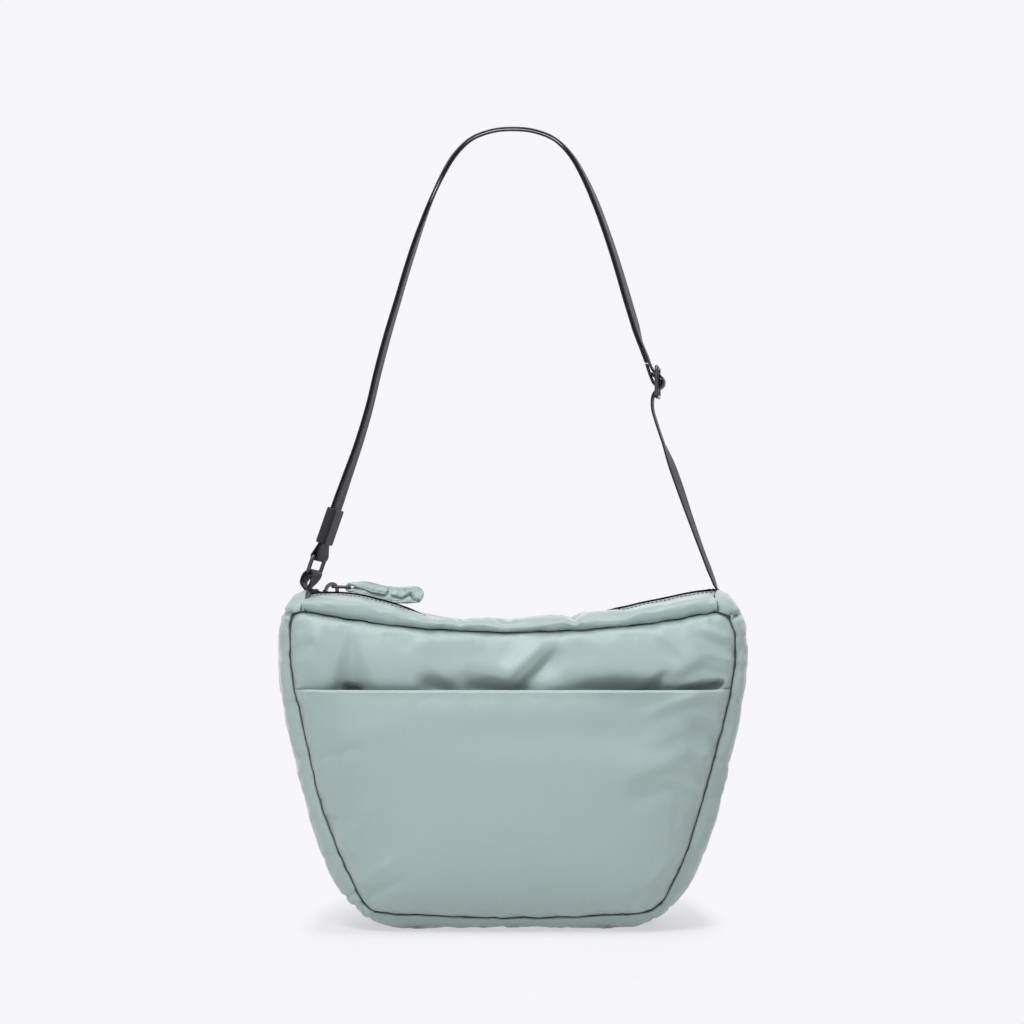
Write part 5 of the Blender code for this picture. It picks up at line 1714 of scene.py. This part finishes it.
def eased_node(name, swell=0.0):
    """A metal part of the frame, with its edges eased and its finish."""
    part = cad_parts[name]
    weld = part.modifiers.new("weld", "WELD")
    weld.merge_threshold = 0.00001
    if swell:
        fuller = part.modifiers.new("fuller", "DISPLACE")
        fuller.strength = swell
        fuller.mid_level = 0.0
    bevel = part.modifiers.new("eased", "BEVEL")
    bevel.width = METAL_EDGE
    bevel.segments = 3
    bevel.limit_method = "ANGLE"
    bevel.angle_limit = math.radians(35)
    part.modifiers.new("even", "WEIGHTED_NORMAL")
    part.data.materials.clear()
    part.data.materials.append(looks["metal"])
    part.data.shade_smooth()


def finish_tape(name, facing):
    """Woven tape from beside the coil, up the inside of the band's edge and just over it."""
    reach = SEAM_X - TAPE_SHORT
    x = np.linspace(-reach, reach, 181)
    chain = arc_height(x, ZIP_LOW, SEAM_X, ZIP_RISE) + TAPE / 2
    drop = REAR_DROP if facing > 0 else 0.0
    changed = risen(np.abs(x), *TAPE_CHANGE_X)
    proud = TAPE_PROUD * changed * eased((reach - np.abs(x)) / TAPE_END_REACH)
    edge = lip_height(x) - drop + proud - TAPE_UNDER * (1 - changed)
    top = np.where(np.abs(x) > TAPE_LOW_FROM, edge, np.maximum(edge, chain))
    outer = np.stack([
        np.stack([x, np.full_like(x, facing * y), chain + (top - chain) * part], axis=1)
        for y, part in TAPE_SECTION
    ])
    outer = outer[::-1] if facing < 0 else outer
    inner = outer - grid_normals(outer) * TAPE
    tape = padded_mesh(f"{name}_zip_tape_cloth", outer, inner, [looks["tape"], looks["tape"]])
    blended_halves(tape, [f"{name}_zip_tape"])


def pull_hinge():
    """Where the link's bar sits in the slider's bridge."""
    plate = CHAIN_THICKNESS / 2 + GAP + SLIDER_PLATE
    return on_zip(SLIDER_ALONG, 0.0, plate + GAP + BRIDGE_RISE - BRIDGE_THICKNESS - GAP - LINK_WIRE / 2)


def finish_pull():
    droop = math.radians(LINK_DROOP)
    along = Vector((math.cos(droop), 0.0, math.sin(droop)))
    side = Vector((0.0, 1.0, 0.0))
    hinge = pull_hinge()
    bar_to_bar = LINK_LENGTH - LINK_WIRE
    middle = hinge + along * (bar_to_bar / 2)
    loop = planar_loop(middle, along, side, bar_to_bar / 2, (LINK_WIDTH - LINK_WIRE) / 2, LINK_WIRE, 8)
    wire = tube(loop, LINK_WIRE / 2, 16, along.cross(side), closed=True)
    link = joined("pull_link_wire", [wire], [looks["metal"]])
    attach(link, "pull")
    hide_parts("pull_link")
    pull = finish_pull_tab(hinge + along * bar_to_bar)
    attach(pull, "pull")
    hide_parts("pull_tab")


def pull_section():
    """The folded tab across its width: a cushion with two stitched grooves beside each edge."""
    section = []
    for w in np.linspace(-1, 1, 33):
        full = math.sqrt(max(0.0, 1 - abs(w)**PULL_FULLNESS))
        groove = sum(deep * math.exp(-((abs(w) - place) / half)**2) for place, half, deep in PULL_GROOVES)
        section.append((float(w), full * (1 - groove)))
    return section


def pull_width(run):
    """The tab's width along its length, from the end of its top over the link to the end of its tail."""
    from_link = np.abs(run - PULL_TOP_LENGTH)
    wide = np.where(run < PULL_TOP_LENGTH, np.interp(from_link, *zip(*PULL_TOP_WIDTHS)), PULL_WIDTH)
    full = PULL_WIDTH_IN_LINK + (wide - PULL_WIDTH_IN_LINK) * eased(from_link / PULL_WIDENING)
    for left, radius in ((run, PULL_TOP_CORNER), (run[-1] - run, PULL_TAIL_CORNER)):
        inside = np.clip(1 - left / radius, 0, 1)
        full = full - 2 * radius * (1 - np.sqrt(1 - inside**2 * 0.995))
    return np.maximum(full, PULL_LEAST_WIDTH)


def finish_pull_tab(bar):
    """Folded fabric round the link's far bar: a long tail underneath and a shorter end on top of it."""
    bend = LINK_WIRE / 2 + GAP + PULL_THICKNESS / 2
    pair = (PULL_THICKNESS + GAP) / 2
    spine, spreads = [], []
    for share_x, share_z in smooth_route(PULL_ROUTE_SHARES, 6):
        roll = math.radians(PULL_ROLL) * min(1.0, share_x / PULL_ROLLED_SHARE)
        centre = bar + Vector((share_x * PULL_TAIL_LENGTH, 0.0, share_z * PULL_TAIL_LENGTH))
        spine.append((centre, Vector((0.0, math.cos(roll), math.sin(roll)))))
        spreads.append(pair + (bend - pair) * max(0.0, 1 - share_x / PULL_SPREAD_SHARE))
    frames = framed(spine)
    upper, lower = [], []
    for (centre, wide, face), (_, wanted), spread in zip(frames, spine, spreads):
        raised = float(np.interp(centre.x - bar.x, *zip(*PULL_TOP_RAISED)))
        upper.append((centre + face * -spread + wide * raised, wanted))
        lower.append((centre + face * spread, wanted))
    on_top = int(len(spine) * PULL_TOP_LENGTH / PULL_TAIL_LENGTH)
    back, up = Vector((-1, 0, 0)), Vector((0, 0, 1))
    wrap = round_bar(bar, back, up, spine[0][1], bend, [k / 8 for k in range(9)])
    stations = [*upper[on_top:0:-1], *wrap, *lower[1:]]
    tab = webbing(
        "pull_tab_folded", stations, looks["nylon"], pull_width, PULL_THICKNESS, pitch=0.0006,
        shape=pull_section())
    crumple(tab, frames)
    return tab


def crumple(tab, frames):
    """Presses the tail's folds and its soft dents into the tab, both faces together."""
    face = sum((facing for _, _, facing in frames[len(frames) // 2:]), Vector()).normalized()
    vertices = tab.data.vertices
    base = vertices[len(vertices) - 1].co.z / MM
    far = max(v.co.x for v in vertices)
    for vertex in vertices:
        x, z = (vertex.co.x - far) / MM, vertex.co.z / MM
        lift = sum(deep * noise.noise(vertex.co * fineness) for deep, fineness in PULL_DENTS)
        if vertex.co.x > far - FOLDED_LENGTH:
            for start, end, width, height in PULL_FOLDS:
                lift += float(ridge(np.array(x), np.array(z - base), start, end, width, height))
        vertex.co += face * (lift * MM * -1.0)


finish_bag()
finish_strap()
finish_zip()
finish_pull()


# Camera, light and floor
BACKGROUND = linear(247, 246, 249)
# The least share of background that lies over the floor and its shadows
SHADOW_VEIL = 0.62
# The floor fades into the background between these distances, after its stretch along x and y
FLOOR_STRETCH = (1.75, 0.75, 1.0)
FLOOR_FADE = (0.160, 0.250)
# The room's brightest direction, its strength away from there and towards it, and how dark it is at
# both sides and between which x of the direction it gets so
ROOM_BRIGHT = (-0.06, -0.48, 0.87)
ROOM_LOW = 0.06
ROOM_HIGH = 0.64
SIDE_CARDS = 0.2
SIDE_CARDS_X = (0.45, 0.85)
# Lamps by name, place, target, size and power
LAMPS = (
    ("key", (-0.50, -1.00, 1.62), (0, 0, 0.14), (0.5, 0.5), 17),
    ("fill", (-0.2, -1.7, 0.18), (0, 0, 0.08), (1.0, 0.3), 2.6),
    ("top", (0.26, -0.16, 1.60), (0.05, 0, 0.16), (0.6, 0.6), 8),
    ("back", (0.2, 1.5, 0.8), (0, 0, 0.15), (1.2, 0.9), 5),
)
CAMERA_PLACE = (-0.00045, -2.0, 0.2633)
CAMERA_SENSOR = 36.0
CAMERA_LENS = 110.04


def in_scene(name, data):
    made = bpy.data.objects.new(name, data)
    bpy.context.scene.collection.objects.link(made)
    return made


def area_light(name, place, target, size, power):
    data = bpy.data.lights.new(name, "AREA")
    data.shape = "RECTANGLE"
    data.size, data.size_y = size
    data.energy = power
    lamp = in_scene(name, data)
    lamp.location = place
    lamp.rotation_euler = (Vector(target) - lamp.location).to_track_quat("-Z", "Y").to_euler()


def seen_directly(tree):
    """1 for rays from the camera, off gloss and through glass."""
    path = node(tree, "ShaderNodeLightPath").outputs
    first = maths(tree, "MAXIMUM", path["Is Camera Ray"], path["Is Glossy Ray"])
    return maths(tree, "MAXIMUM", first, path["Is Transmission Ray"])


def mixed_shaders(tree, factor, first, second):
    return node(tree, "ShaderNodeMixShader", {0: factor, 1: first, 2: second}).outputs[0]


def make_room():
    """White light from all round, darker at both sides. The camera sees the plain background instead."""
    world = bpy.data.worlds.new("studio")
    bpy.context.scene.world = world
    world.use_nodes = True
    tree = world.node_tree
    towards = node(tree, "ShaderNodeTexCoord").outputs["Generated"]
    bright = node(tree, "ShaderNodeVectorMath", {0: towards, 1: ROOM_BRIGHT}, operation="DOT_PRODUCT")
    strength = remapped(tree, bright.outputs["Value"], (-0.7, 1.0), (ROOM_LOW, ROOM_HIGH))
    sideways = node(tree, "ShaderNodeSeparateXYZ", {0: towards}).outputs["X"]
    cards = remapped(tree, maths(tree, "ABSOLUTE", sideways), SIDE_CARDS_X, (1.0, SIDE_CARDS))
    plain = wired(tree, tree.nodes["Background"], {
        "Color": (1.0, 1.0, 1.0, 1.0), "Strength": maths(tree, "MULTIPLY", strength, cards),
    })
    shown = node(tree, "ShaderNodeBackground", {"Color": BACKGROUND, "Strength": 1.0})
    mixed = mixed_shaders(tree, seen_directly(tree), plain.outputs[0], shown.outputs[0])
    wired(tree, tree.nodes["World Output"], {"Surface": mixed})


def make_floor():
    """A pale floor that keeps the bag's shadow and fades into the background."""
    floor = mesh_piece("floor", [(-6, -6, 0), (6, -6, 0), (6, 6, 0), (-6, 6, 0)], [(0, 1, 2, 3)], [])
    look, tree, shader = new_material("pale_floor")
    wired(tree, shader, {
        "Base Color": (0.80, 0.80, 0.805, 1.0), "Roughness": 0.9, "Specular IOR Level": 0.1,
    })
    place = node(tree, "ShaderNodeTexCoord").outputs["Object"]
    stretched = node(tree, "ShaderNodeVectorMath", {0: place, 1: FLOOR_STRETCH}, operation="MULTIPLY")
    distance = node(tree, "ShaderNodeVectorMath", {0: stretched.outputs[0]}, operation="LENGTH")
    far = remapped(tree, distance.outputs["Value"], FLOOR_FADE, (0.0, 1.0), interpolation_type="SMOOTHSTEP")
    glow = node(tree, "ShaderNodeEmission", {"Color": BACKGROUND, "Strength": 1.0})
    veil = maths(tree, "MAXIMUM", far, SHADOW_VEIL)
    factor = maths(tree, "MULTIPLY", veil, seen_directly(tree))
    mixed = mixed_shaders(tree, factor, shader.outputs[0], glow.outputs[0])
    wired(tree, tree.nodes["Material Output"], {"Surface": mixed})
    floor.data.materials.append(look)


def make_camera():
    data = bpy.data.cameras.new("camera")
    data.sensor_width = CAMERA_SENSOR
    data.lens = CAMERA_LENS
    camera = in_scene("camera", data)
    camera.location = CAMERA_PLACE
    camera.rotation_euler = (math.pi / 2, 0.0, 0.0)
    bpy.context.scene.camera = camera
    bpy.context.scene.view_settings.view_transform = "Standard"


make_room()
make_floor()
for lamp_row in LAMPS:
    area_light(*lamp_row)
make_camera()
